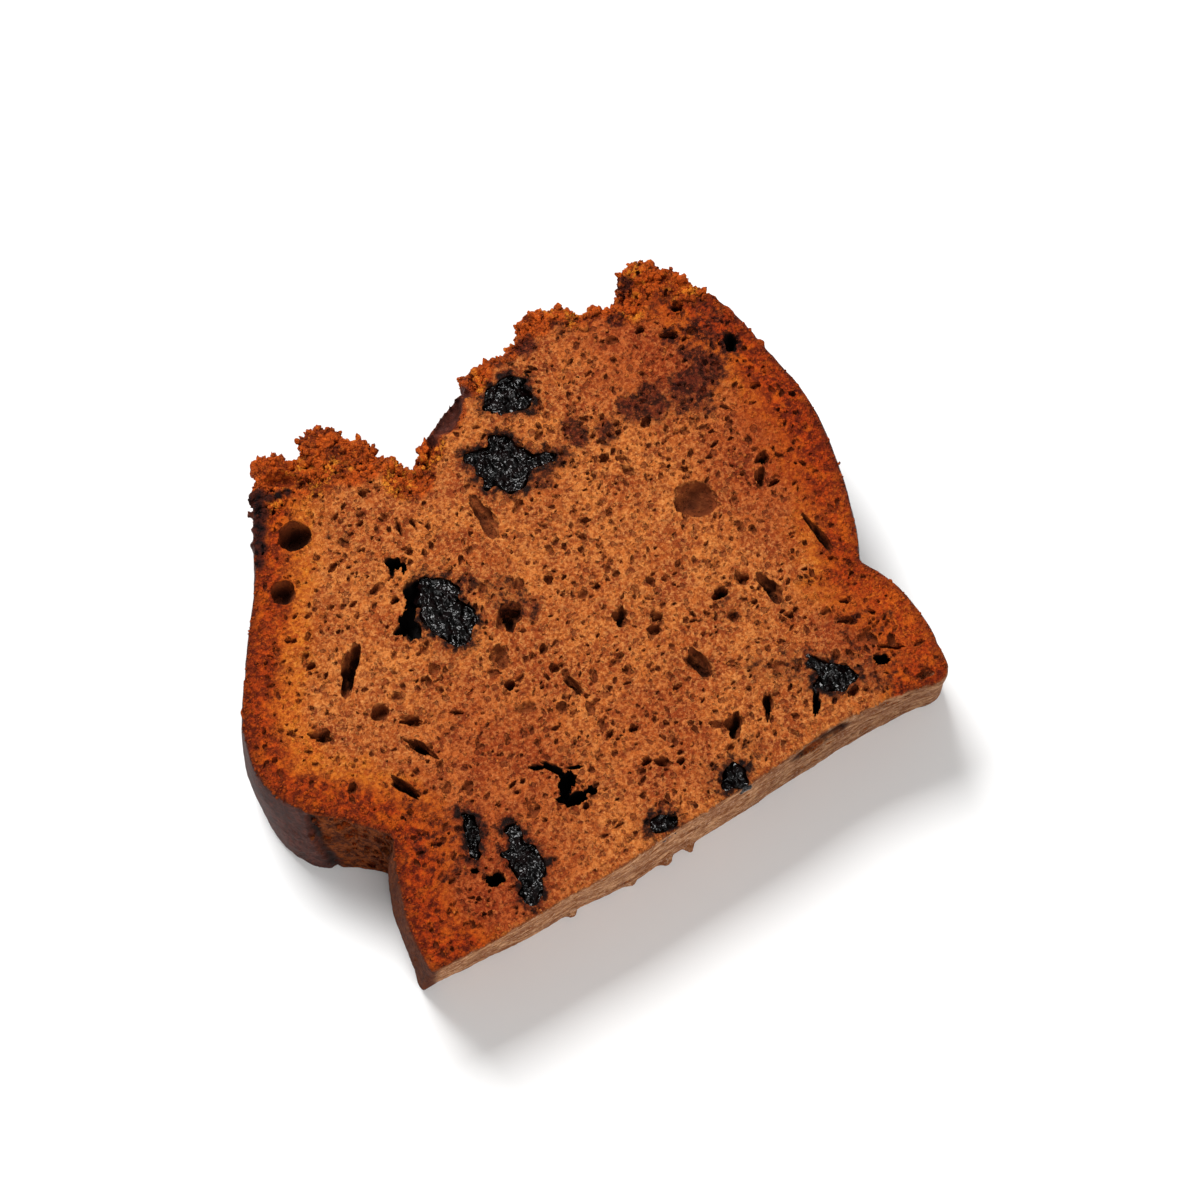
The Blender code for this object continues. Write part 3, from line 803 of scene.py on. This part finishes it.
def cut_berry_pockets(obj):
    """The crumb ends in a jagged edge round each berry."""
    for name in BERRIES:
        cutter = berry_copy(name)
        points = coords(cutter.data)
        top = points[:, 2] > (THICK - 1.2) * MM
        points[top, 2] += 1.8 * MM
        set_coords(cutter.data, points)
        remesh(cutter, POCKET_CELLS[0])
        points = coords(cutter.data)
        drawn_up = points * [1, 1, 0.3]
        push = -0.15 + 0.55 * ripple(drawn_up, 1.9, 3.3) + 0.35 * ripple(drawn_up, 0.9, 8.3)
        set_coords(cutter.data, points + normals(cutter.data) * push[:, None] * MM)
        remesh(cutter, POCKET_CELLS[1])
        cut_away(obj, cutter)


def part_off(obj, name, low, high):
    """What lies in a box, from one corner to the other, leaves the object and becomes a piece."""
    bpy.ops.object.select_all(action="DESELECT")
    bpy.ops.mesh.primitive_cube_add(size=1.0)
    block = bpy.context.active_object
    points = coords(block.data)
    set_coords(block.data, np.where(points > 0, high, low) * MM)
    piece = obj.copy()
    piece.data = obj.data.copy()
    piece.name = name
    bpy.context.scene.collection.objects.link(piece)
    finish_with(piece, "BOOLEAN", operation="INTERSECT", solver="MANIFOLD", object=block)
    cut_away(obj, block)
    return piece


def split_up(obj):
    """Parts the bread into a thin underside and strips above it, all closed."""
    far = 200.0
    pieces = [part_off(obj, "bread_underside", (-far, -far, -far), (far, far, SEAM))]
    for number, place in enumerate(STRIPS):
        pieces.append(part_off(obj, f"bread_strip_{number}", (-far, -far, -far), (place, far, far)))
    obj.name = f"bread_strip_{len(STRIPS)}"
    return pieces + [obj]


def thin_out(obj):
    """Fewer triangles where the form needs fewer."""
    count = sum(len(face.vertices) - 2 for face in obj.data.polygons)
    if count > MOST_TRIANGLES:
        finish_with(obj, "DECIMATE", ratio=MOST_TRIANGLES / count)


def shade(obj):
    """Smooth shading, but for the hidden faces where pieces meet, which stay out of it."""
    activate(obj)
    bpy.ops.object.shade_smooth()
    mesh = obj.data
    points = coords(mesh) / MM
    corners = read(mesh.loops, "vertex_index", 1, np.int32)[:, 0]
    edges = read(mesh.loops, "edge_index", 1, np.int32)[:, 0]
    sides = read(mesh.polygons, "loop_total", 1, np.int32)[:, 0]
    face_of = np.repeat(np.arange(len(sides)), sides)
    meeting = np.zeros(len(sides), bool)
    for axis, place in [(2, SEAM)] + [(0, place) for place in STRIPS]:
        off = np.abs(points[corners, axis] - place) > 0.001
        meeting |= np.bincount(face_of, off, len(sides)) == 0
    count = np.bincount(edges, meeting[face_of], len(mesh.edges))
    mesh.edges.foreach_set("use_edge_sharp", count == 1)


# Masks that the finish reads, kept on the mesh

def standing_out(mesh, rounds):
    """How far each point stands out of the mean of its surroundings, in millimetres."""
    points = coords(mesh) / MM
    pairs = read(mesh.edges, "vertices", 2, np.int32)
    first, second = pairs.T
    count = np.bincount(pairs.ravel(), minlength=len(points))
    mean = points
    for _ in range(rounds):
        total = np.stack([np.bincount(first, mean[second, k], len(points))
                          + np.bincount(second, mean[first, k], len(points)) for k in range(3)], axis=1)
        mean = total / count[:, None]
    return np.einsum("ij,ij->i", points - mean, normals(mesh))


def off_berries(points):
    """How far each point is from the nearest berry, in millimetres."""
    tree = kdtree.KDTree(sum(len(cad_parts[name].data.vertices) for name in BERRIES))
    for name in BERRIES:
        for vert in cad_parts[name].data.vertices:
            tree.insert(vert.co, 0)
    tree.balance()
    return np.array([tree.find(Vector(point))[2] for point in points]) / MM


def near_spots(spots, entries, low, high, wander):
    """How much each place belongs to any entry: its strength in its middle, and 0 past its reach."""
    found = np.zeros(len(spots))
    for centre, reach, strength in entries:
        away = np.linalg.norm(spots - centre, axis=1) / reach
        found = np.maximum(found, strength * (1.0 - smooth_step(away + wander, low, high)))
    return found


def crust_masks(points, out, wander):
    """How far each point is from the crust, which wall it lies on, and how deep in a hole it is."""
    spots, height = places(points), points[:, 2] / MM
    upright = spots - leaning(spots, 1.0 - height / THICK)
    rim = np.where(inside_outline(upright), nearest(upright, CRUST_LINE)[0], 0.0)
    sink, crumbly = sunk(spots)
    pale = PALE_SHIFT * smooth_step(spots[:, 0], 6.0, 16.0) * smooth_step(spots[:, 0], 90.0, 82.0)
    pale *= smooth_step(spots[:, 1], 14.0, 8.0)
    sides = 1.0 - smooth_step(np.abs(out[:, 2]), 0.5, 0.85)
    wall = sides * (1.0 - smooth_step(rim, 1.4, 2.8)) * smooth_step(THICK - sink - height, 0.15, 0.8)
    wall = np.maximum(wall, (rim <= 0.0) * smooth_step(THICK - height, 0.4, 1.2))
    wall *= 1.0 - smooth_step(crumbly, 0.3, 0.7)
    # The fold's crease is painted dark, as shade. The recess lies beyond it.
    fold, _, beyond = fold_masks(points)
    base = wall * (upright[:, 1] < 3.0) * smooth_step(spots[:, 0], 0.5, 2.0)
    skin = wall * (spots[:, 1] > 24.0) * (1.0 - beyond)
    whole = off_line(spots, WHOLE_CRUST) + 0.4 * wander
    skin = np.maximum(skin, (1.0 - smooth_step(whole, 1.6, 2.3)) * smooth_step(THICK - height, 1.0, 2.6))
    # Painted shade in the groove under the cut face. The base wall is also darker towards its right end.
    middle, sizes = BASE_HOLLOW
    away = (np.column_stack([spots, height]) - middle) / sizes
    groove = 1.0 - smooth_step(np.linalg.norm(away * [1.6, 0.8, 1.4], axis=1) + 0.15 * wander, 0.6, 1.2)
    groove = base * np.maximum(groove, 0.3 * smooth_step(spots[:, 0], 45.0, 75.0))
    # How deep a point lies in a hole. The finish paints shade on the hole's wall by it.
    surface = THICK - sink
    depth = np.where(height > THICK / 2, surface - height, height)
    inner = smooth_step(rim, 0.6, 2.4) * (1.0 - smooth_step(crumbly, 0.1, 0.6)) * (1.0 - wall)
    return {
        "rim": rim + pale + wander * np.clip(rim / 2.0, 0.0, 1.0), "crumbly": crumbly, "wall": wall,
        "base_wall": base, "groove": groove, "skin": skin, "fold": fold * wall, "recess": beyond * wall,
        "hole_shade_depth": np.clip(depth, 0.0, 6.0) * inner,
    }


def colour_masks(points, wander):
    """Where the fruit wetted, stained or burnt the bread, where it is redder or golden, and the painted shade
    deep inside the hollows.
    """
    spots, height = places(points), points[:, 2] / MM
    soak = off_berries(points) + 0.7 * wander
    juice = near_spots(spots, STAINS, 0.35, 1.25, 0.3 * wander)
    burnt = near_spots(spots, [(place, reach, 1.0) for place, reach in BURNT], 0.7, 1.5, 0.15 * wander)
    # Painted shade: near black on the walls deep inside the hollows.
    black = np.zeros(len(points))
    for centre, length, width, _, turn in HOLLOWS:
        c, s = math.cos(math.radians(turn)), math.sin(math.radians(turn))
        off = spots - centre
        along = (off[:, 0] * c + off[:, 1] * s) / (0.75 * length)
        across = (-off[:, 0] * s + off[:, 1] * c) / (0.75 * width)
        black = np.maximum(black, 1.0 - smooth_step(np.hypot(along, across), 0.85, 1.15))
    return {
        "soak": 1.0 - smooth_step(soak, 0.0, 2.8),
        "redder": near_spots(spots, REDDER, 0.3, 1.1, 0.1 * wander),
        "golden": near_spots(spots, GOLDEN, 0.3, 1.1, 0.2 * wander),
        "juice": juice * smooth_step(height, 8.0, 17.0),
        "burnt": burnt * smooth_step(height, 10.0, 16.0),
        "black": black * smooth_step(THICK - height, 0.3, 1.3) * smooth_step(height, 6.0, 9.0),
    }


def keep_masks(mesh):
    points = coords(mesh)
    wander = 0.8 * ripple(points, 2.5, 1.7) + 0.6 * ripple(points, 6.0, 9.1)
    masks = crust_masks(points, normals(mesh), wander) | colour_masks(points, wander)
    masks |= {"tips": standing_out(mesh, 3), "hills": standing_out(mesh, 16)}
    for name, values in masks.items():
        layer = mesh.attributes.new(name, "FLOAT", "POINT")
        layer.data.foreach_set("value", values.astype(np.float32))


# Materials

def linear(r, g, b):
    """A colour as seen, from 0 to 255, as the shader wants it."""
    def channel(value):
        value /= 255.0
        return value / 12.92 if value <= 0.04045 else ((value + 0.055) / 1.055) ** 2.4
    return (channel(r), channel(g), channel(b), 1.0)


class Finish:
    """A material's nodes, put together step by step. Sizes are in millimetres."""

    def __init__(self, name):
        self.material = bpy.data.materials.new(name)
        self.material.use_nodes = True
        self.tree = self.material.node_tree
        self.shader = self.tree.nodes["Principled BSDF"]
        self.places = self.node("ShaderNodeTexCoord").outputs["Object"]

    def node(self, kind, **settings):
        node = self.tree.nodes.new(kind)
        for key, value in settings.items():
            setattr(node, key, value)
        return node

    def feed(self, node, **values):
        """Links or sets a node's inputs. A name's spaces are written as underscores."""
        for name, value in values.items():
            self.plug(node.inputs[name.replace("_", " ")], value)

    def plug(self, socket, value):
        if isinstance(value, bpy.types.NodeSocket):
            self.tree.links.new(value, socket)
        else:
            socket.default_value = value

    def mask(self, name):
        return self.node("ShaderNodeAttribute", attribute_name=name).outputs["Fac"]

    def stretched(self, x, y, z):
        node = self.node("ShaderNodeMapping")
        self.feed(node, Vector=self.places, Scale=(x, y, z))
        return node.outputs["Vector"]

    def noise(self, size, detail, roughness, places):
        node = self.node("ShaderNodeTexNoise")
        self.feed(node, Vector=places or self.places, Scale=1000.0 / size, Detail=detail, Roughness=roughness)
        return node.outputs

    def cloud(self, size, detail, roughness=0.55, places=None):
        """Noise with patches about this size."""
        return self.noise(size, detail, roughness, places)["Fac"]

    def vectors(self, operation, first, second):
        node = self.node("ShaderNodeVectorMath", operation=operation)
        self.plug(node.inputs[0], first)
        self.plug(node.inputs["Scale" if operation == "SCALE" else 1], second)
        return node.outputs["Vector"]

    def warped(self, size, reach):
        """Places pushed about by up to this reach, so that cells lose their even shape."""
        centred = self.vectors("SUBTRACT", self.noise(size, 2.0, 0.5, None)["Color"], (0.5, 0.5, 0.5))
        return self.vectors("ADD", self.places, self.vectors("SCALE", centred, 2.0 * reach * MM))

    def cells(self, size, places):
        """Cells about this size: how far off its middle a place is, and a colour for each cell."""
        node = self.node("ShaderNodeTexVoronoi")
        self.feed(node, Vector=places, Scale=1000.0 / size)
        return node.outputs["Distance"], node.outputs["Color"]

    def ramp(self, value, low, high, start=0.0, end=1.0):
        """A smooth step from start to end as the value goes from low to high."""
        node = self.node("ShaderNodeMapRange", interpolation_type="SMOOTHSTEP")
        if low > high:
            low, high, start, end = high, low, end, start
        self.feed(node, Value=value, From_Min=low, From_Max=high, To_Min=start, To_Max=end)
        return node.outputs["Result"]

    def maths(self, operation, first, second):
        node = self.node("ShaderNodeMath", operation=operation)
        self.plug(node.inputs[0], first)
        self.plug(node.inputs[1], second)
        return node.outputs[0]

    def times(self, first, second):
        return self.maths("MULTIPLY", first, second)

    def less(self, first, second):
        return self.maths("SUBTRACT", first, second)

    def plus(self, first, second):
        return self.maths("ADD", first, second)

    def most(self, first, second):
        return self.maths("MAXIMUM", first, second)

    def mix(self, amount, first, second, blend="MIX"):
        """Two colours mixed. A plain colour is three numbers from 0 to 255. Sockets go by number."""
        node = self.node("ShaderNodeMix", data_type="RGBA", blend_type=blend)
        for number, value in ((0, amount), (6, first), (7, second)):
            plain = isinstance(value, tuple) and len(value) == 3
            self.plug(node.inputs[number], linear(*value) if plain else value)
        return node.outputs[2]

    def paint(self, colour, *coats):
        """Lays coats over a colour. A coat is a value, its start and full points, strength and colour."""
        for value, start, full, strength, coat in coats:
            colour = self.mix(self.ramp(value, start, full, 0.0, strength), colour, coat)
        return colour

    def surface(self, colour, rough, shine):
        self.feed(self.shader, Base_Color=colour, Roughness=rough, Specular_IOR_Level=shine)

    def relief(self, height, depth):
        node = self.node("ShaderNodeBump")
        self.feed(node, Height=height, Distance=depth * MM)
        self.feed(self.shader, Normal=node.outputs["Normal"])


class BreadFinish(Finish):
    """The bread's patterns, from broad patches to specks, which its colours and its relief share."""

    def __init__(self):
        super().__init__("baked banana crumb")
        self.broad = self.cloud(11.0, 2.0)
        self.patch = self.cloud(3.0, 3.0, 0.6)
        self.mottle = self.cloud(1.3, 3.0, 0.65)
        self.speck = self.cloud(0.55, 3.0, 0.75)
        self.streak = self.cloud(0.9, 4.0, 0.7, self.stretched(1.0, 1.0, 0.35))
        self.rim, self.crumbly, self.skin = self.mask("rim"), self.mask("crumbly"), self.mask("skin")
        self.soak, self.tips = self.mask("soak"), self.mask("tips")
        bent = self.warped(0.7, 0.5)
        self.grain_edge, self.grain = self.cells(0.5, bent)
        pits, pit_size = self.cells(1.3, bent)
        dots, dot_size = self.cells(0.7, bent)
        # The small pits: sunk by the relief and painted darker as shade, less so near the crust.
        pit = self.ramp(self.less(self.ramp(pit_size, 0.42, 0.95, 0.0, 0.5), pits), 0.0, 0.12)
        dot = self.ramp(self.less(self.ramp(dot_size, 0.45, 0.9, 0.0, 0.5), dots), 0.0, 0.2)
        self.pit = self.times(self.most(pit, self.times(dot, 0.7)), self.ramp(self.rim, 1.0, 4.0, 0.4, 1.0))
        # Painted shade: where a point sinks below its near or broad surroundings, it is painted darker.
        sharp = self.ramp(self.tips, -0.02, -0.26, 0.0, 0.75)
        self.crevice_shade = self.most(sharp, self.ramp(self.mask("hills"), -0.1, -0.7, 0.0, 0.7))


def tan_crumb(f):
    """Redder patches, pale walls between small pits, and painted shade in the pits."""
    crumb = f.paint(
        (194, 106, 44),
        (f.broad, 0.38, 0.62, 1.0, (166, 78, 29)),
        (f.patch, 0.46, 0.66, 0.65, (140, 56, 22)),
        (f.mottle, 0.52, 0.36, 0.7, (116, 46, 18)),
        (f.grain, 0.45, 0.36, 0.35, (110, 44, 20)),
        (f.grain, 0.56, 0.66, 0.35, (216, 138, 72)),
        (f.speck, 0.5, 0.74, 0.65, (228, 154, 88)),
        (f.speck, 0.5, 0.3, 0.75, (100, 38, 14)))
    # Painted shade in the small pits.
    return f.mix(f.times(f.pit, 0.6), crumb, (96, 38, 16))


def crust_zones(f, colour):
    """Towards the crust: a yellow ring, an orange zone with gold in it, and a dark red edge."""
    yellow = f.paint(
        (210, 116, 28),
        (f.mottle, 0.35, 0.6, 1.0, (166, 74, 16)),
        (f.speck, 0.5, 0.7, 0.6, (232, 146, 48)),
        (f.speck, 0.48, 0.3, 0.75, (112, 38, 10)))
    colour = f.paint(colour, (f.plus(f.rim, f.times(f.patch, 8.0)), 16.5, 11.0, 0.75, yellow))
    # shares of the crumb's red, green and blue that it keeps where it is redder
    kept = f.mix(f.mask("redder"), (1.0, 1.0, 1.0, 1.0), (0.72, 0.48, 0.46, 1.0))
    colour = f.mix(1.0, colour, kept, "MULTIPLY")
    orange = f.paint(
        (156, 50, 10),
        (f.mottle, 0.38, 0.6, 1.0, (84, 20, 7)),
        (f.patch, 0.52, 0.68, 0.8, (190, 84, 14)),
        (f.speck, 0.52, 0.7, 0.6, (212, 88, 15)),
        (f.speck, 0.48, 0.32, 0.75, (52, 13, 6)))
    colour = f.paint(colour, (f.plus(f.rim, f.times(f.patch, 3.4)), 9.8, 5.6, 0.94, orange))
    gold = f.paint((148, 50, 11), (f.speck, 0.4, 0.62, 1.0, (224, 110, 30)))
    colour = f.mix(f.times(f.mask("golden"), f.ramp(f.mottle, 0.4, 0.6, 0.15, 0.7)), colour, gold)
    return f.paint(colour, (f.rim, 1.8, 0.1, 0.6, (68, 20, 11)))


def torn_top(f, colour):
    """Orange and yellow crumbs over red-brown."""
    torn = f.paint(
        (184, 74, 18),
        (f.patch, 0.42, 0.58, 1.0, (98, 29, 9)),
        (f.mottle, 0.56, 0.42, 0.45, (96, 30, 9)),
        (f.speck, 0.52, 0.7, 0.6, (226, 122, 36)))
    bright = f.times(f.ramp(f.grain, 0.46, 0.56), f.ramp(f.cloud(4.5, 2.0), 0.54, 0.66, 0.0, 0.8))
    torn = f.mix(bright, torn, (232, 142, 40))
    torn = f.paint(torn, (f.speck, 0.48, 0.32, 0.65, (70, 20, 8)))
    return f.paint(colour, (f.plus(f.crumbly, f.times(f.patch, 0.6)), 0.45, 0.95, 0.92, torn))


def paint_shade_and_highlights(f, colour):
    """Painted shade and highlights: crevices are painted darker, what stands out is painted paler, and a
    hole's smooth wall is painted darker with depth.
    """
    # Painted shade in crevices.
    colour = f.mix(f.crevice_shade, colour, (78, 27, 11))
    # Painted highlight on what stands out: paler, and redder near the crust and on the torn top.
    tip_highlight = f.mix(f.most(f.ramp(f.rim, 9.0, 5.0), f.crumbly), (220, 130, 56), (214, 92, 20))
    # Painted shade on a hole's wall, darker the deeper it lies.
    smooth = f.mix(f.patch, (98, 42, 19), (136, 66, 31))
    hole_shade_depth = f.mask("hole_shade_depth")
    return f.paint(
        colour,
        (f.tips, 0.03, 0.2, 0.34, tip_highlight),
        (hole_shade_depth, 0.15, 1.1, 0.8, smooth),
        (hole_shade_depth, 0.9, 4.0, 0.92, (34, 13, 6)))


def juice_burns_and_hollow_shade(f, colour):
    """Purple-brown spots that break up towards their edge, nearly black next to the fruit."""
    ragged = f.plus(f.times(f.less(f.mottle, 0.5), 2.4), f.less(f.speck, 0.5))
    wet = f.most(f.mask("juice"), f.times(f.soak, 0.8))
    stain = f.ramp(f.plus(wet, f.times(ragged, f.ramp(wet, 0.0, 0.3))), 0.22, 0.9)
    purple = f.paint(
        (86, 29, 16),
        (f.mottle, 0.42, 0.58, 1.0, (38, 12, 8)),
        (f.speck, 0.54, 0.7, 0.6, (158, 72, 38)),
        (f.speck, 0.47, 0.32, 0.8, (22, 8, 7)))
    colour = f.mix(f.times(stain, 0.95), colour, purple)
    colour = f.paint(colour, (f.plus(f.soak, f.times(ragged, 0.25)), 0.68, 1.0, 0.94, (16, 5, 3)))
    scorched = f.paint((20, 10, 11), (f.mottle, 0.4, 0.6, 1.0, (66, 26, 17)))
    colour = f.mix(f.mask("burnt"), colour, scorched)
    # Painted shade, near black, deep inside the hollows.
    return f.mix(f.mask("black"), colour, (8, 5, 5))


def brown_side(f, colour):
    """The loaf's own side: brown and drawn out, and porous in the recess."""
    side = f.paint(
        (112, 56, 27),
        (f.streak, 0.36, 0.64, 1.0, (76, 33, 15)),
        (f.patch, 0.4, 0.64, 0.35, (66, 28, 14)),
        (f.speck, 0.48, 0.34, 0.7, (46, 18, 9)))
    porous = f.paint(
        (128, 62, 25),
        (f.mottle, 0.4, 0.6, 1.0, (74, 31, 13)),
        (f.speck, 0.54, 0.72, 0.6, (176, 96, 40)))
    side = f.mix(f.mask("recess"), side, porous)
    # Painted shade in the side's crevices.
    side = f.mix(f.times(f.crevice_shade, 0.7), side, (46, 18, 9))
    return f.mix(f.mask("wall"), colour, side)


def pale_base(f, colour):
    """The wall along the base: pale crumb in thin layers, with painted shade in the groove, and darker towards
    the right end.
    """
    layers = f.cloud(1.4, 3.0, 0.65, f.stretched(0.6, 1.0, 1.0))
    pale = f.paint(
        (204, 150, 106),
        (layers, 0.36, 0.62, 1.0, (140, 84, 48)),
        (f.patch, 0.46, 0.64, 0.6, (128, 72, 42)),
        (f.speck, 0.5, 0.3, 0.7, (96, 50, 27)),
        (f.speck, 0.54, 0.7, 0.6, (236, 200, 170)))
    # Painted shade in the base wall's crevices.
    pale = f.mix(f.times(f.crevice_shade, 0.8), pale, (84, 40, 18))
    # Painted shade in the groove, and darker towards the base's right end.
    pale = f.mix(f.mask("groove"), pale, (52, 22, 10))
    return f.mix(f.mask("base_wall"), colour, pale)


def dome_crust(f, colour):
    """The dome's smooth dark crust, and painted shade in the fold."""
    glaze = f.paint(
        (80, 37, 28),
        (f.patch, 0.35, 0.65, 1.0, (58, 25, 18)),
        (f.streak, 0.42, 0.62, 0.6, (46, 19, 14)),
        (f.speck, 0.54, 0.72, 0.45, (126, 66, 46)),
        (f.speck, 0.48, 0.34, 0.7, (30, 13, 10)))
    colour = f.mix(f.skin, colour, glaze)
    # Painted shade along the fold's crease.
    return f.mix(f.mask("fold"), colour, (26, 12, 8))


def bread_finish():
    f = BreadFinish()
    colour = tan_crumb(f)
    for lay in (crust_zones, torn_top, paint_shade_and_highlights, juice_burns_and_hollow_shade, brown_side, pale_base, dome_crust):
        colour = lay(f, colour)
    rough = f.maths("MINIMUM", f.ramp(f.skin, 0.2, 0.9, 0.9, 0.62), f.ramp(f.soak, 0.8, 1.0, 0.9, 0.4))
    f.surface(colour, rough, 0.1)
    loose = f.most(f.crumbly, f.ramp(f.rim, 4.0, 1.5))
    grains = f.times(f.grain_edge, f.ramp(loose, 0.2, 0.9, 0.3, 0.8))
    height = f.less(f.less(f.speck, f.times(f.pit, 0.9)), grains)
    f.relief(f.times(height, f.ramp(f.skin, 0.2, 0.9, 1.0, 0.2)), 0.45)
    return f.material


def berry_finish():
    f = Finish("wet baked berry")
    flesh = f.paint((3, 2, 2), (f.cloud(1.5, 3.0), 0.42, 0.68, 1.0, (14, 5, 5)))
    f.surface(flesh, f.ramp(f.cloud(1.8, 2.0), 0.4, 0.6, 0.08, 0.2), 0.24)
    bumps, _ = f.cells(1.1, f.warped(0.9, 0.5))
    f.relief(f.less(f.cloud(1.2, 1.0, 0.5), f.times(bumps, 0.5)), 0.6)
    return f.material


def floor_finish():
    f = Finish("pale table")
    f.surface(f.mix(f.cloud(60.0, 2.0), (248, 248, 247), (246, 246, 246)), 0.9, 0.2)
    return f.material


# Building

def build_bread(finish):
    bread = raise_blank()
    lean_wall(bread)
    crumble_face(bread)
    spots = torn_spots() + granule_spots(count=9000, seed=12) + burnt_spots() + rim_spots() + clinging_spots()
    join(bread, scatter("clumps", spots, detail=2, rough=0.45, seed=3))
    remesh(bread, BREAD_CELL)
    bread = keep_largest(bread)
    roughen(bread)
    add_crumbs(bread)
    cut_berry_pockets(bread)
    cut_pores(bread)
    bread = keep_largest(bread)
    for piece in split_up(bread):
        thin_out(piece)
        piece.data.materials.clear()
        piece.data.materials.append(finish)
        keep_masks(piece.data)
        shade(piece)
        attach(piece, "root")
        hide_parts("slice")


def build_berry(name, finish, seed):
    """A lumpy, wet berry that the knife went through."""
    berry = berry_copy(name)
    remesh(berry, BERRY_CELL)
    points = coords(berry.data)
    out = normals(berry.data)
    push = 0.6 * ripple(points, 2.4, seed) + 0.7 * ripple(points, 1.3, seed + 5.0)
    push += 0.3 * ripple(points, 0.7, seed + 9.0) + 0.1
    points += out * push[:, None] * MM
    points[:, 2] -= BERRY_SINK * MM
    set_coords(berry.data, points)
    berry.name = name + "_fruit"
    berry.data.materials.append(finish)
    activate(berry)
    bpy.ops.object.shade_smooth()
    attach(berry, "root")
    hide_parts(name)


# Stage, light and camera, their distances in metres

CAMERA_TARGET = Vector((7.5, -5.6, 22.0)) * MM
CAMERA_ELEVATION = 73.0
CAMERA_AZIMUTH = -31.4
CAMERA_DISTANCE = 0.62
PIXELS_PER_MM = 6.2
FRAME_PIXELS = 1200.0
SENSOR = 36.0
# Each light's azimuth, elevation, distance, size and power.
LIGHTS = [(178.0, 54.0, 0.9, 0.4, 9.5), (-6.0, 38.0, 1.1, 0.9, 7.2)]
WORLD_STRENGTH = 0.25
TABLE_SIDE = 6.0


def direction(azimuth, elevation):
    """Towards a place at this azimuth and elevation. Azimuth 0 faces the loaf's base."""
    a, e = math.radians(azimuth), math.radians(elevation)
    return Vector((math.sin(a) * math.cos(e), -math.cos(a) * math.cos(e), math.sin(e)))


def set_camera():
    spot = CAMERA_TARGET + direction(CAMERA_AZIMUTH, CAMERA_ELEVATION) * CAMERA_DISTANCE
    bpy.ops.object.camera_add(location=spot)
    camera = bpy.context.active_object
    camera.rotation_euler = (CAMERA_TARGET - spot).to_track_quat("-Z", "Y").to_euler()
    camera.data.sensor_width = SENSOR
    camera.data.lens = PIXELS_PER_MM * CAMERA_DISTANCE / MM / FRAME_PIXELS * SENSOR
    camera.data.clip_start = 0.01
    bpy.context.scene.camera = camera


def add_light(azimuth, elevation, distance, size, power):
    spot = direction(azimuth, elevation) * distance
    bpy.ops.object.light_add(type="AREA", location=spot)
    light = bpy.context.active_object
    light.rotation_euler = (-spot).to_track_quat("-Z", "Y").to_euler()
    light.data.size = size
    light.data.energy = power


def set_stage():
    bpy.ops.mesh.primitive_plane_add(size=TABLE_SIDE, location=(0.0, 0.0, 0.0))
    floor = bpy.context.active_object
    floor.name = "table"
    floor.data.materials.append(floor_finish())
    for light in LIGHTS:
        add_light(*light)
    scene = bpy.context.scene
    world = bpy.data.worlds.new("soft studio")
    scene.world = world
    world.use_nodes = True
    background = world.node_tree.nodes["Background"]
    background.inputs["Color"].default_value = (1.0, 1.0, 1.0, 1.0)
    background.inputs["Strength"].default_value = WORLD_STRENGTH
    scene.view_settings.view_transform = "Standard"


build_bread(bread_finish())
fruit_finish = berry_finish()
for number, berry_name in enumerate(BERRIES):
    build_berry(berry_name, fruit_finish, number * 3.3)
set_stage()
set_camera()
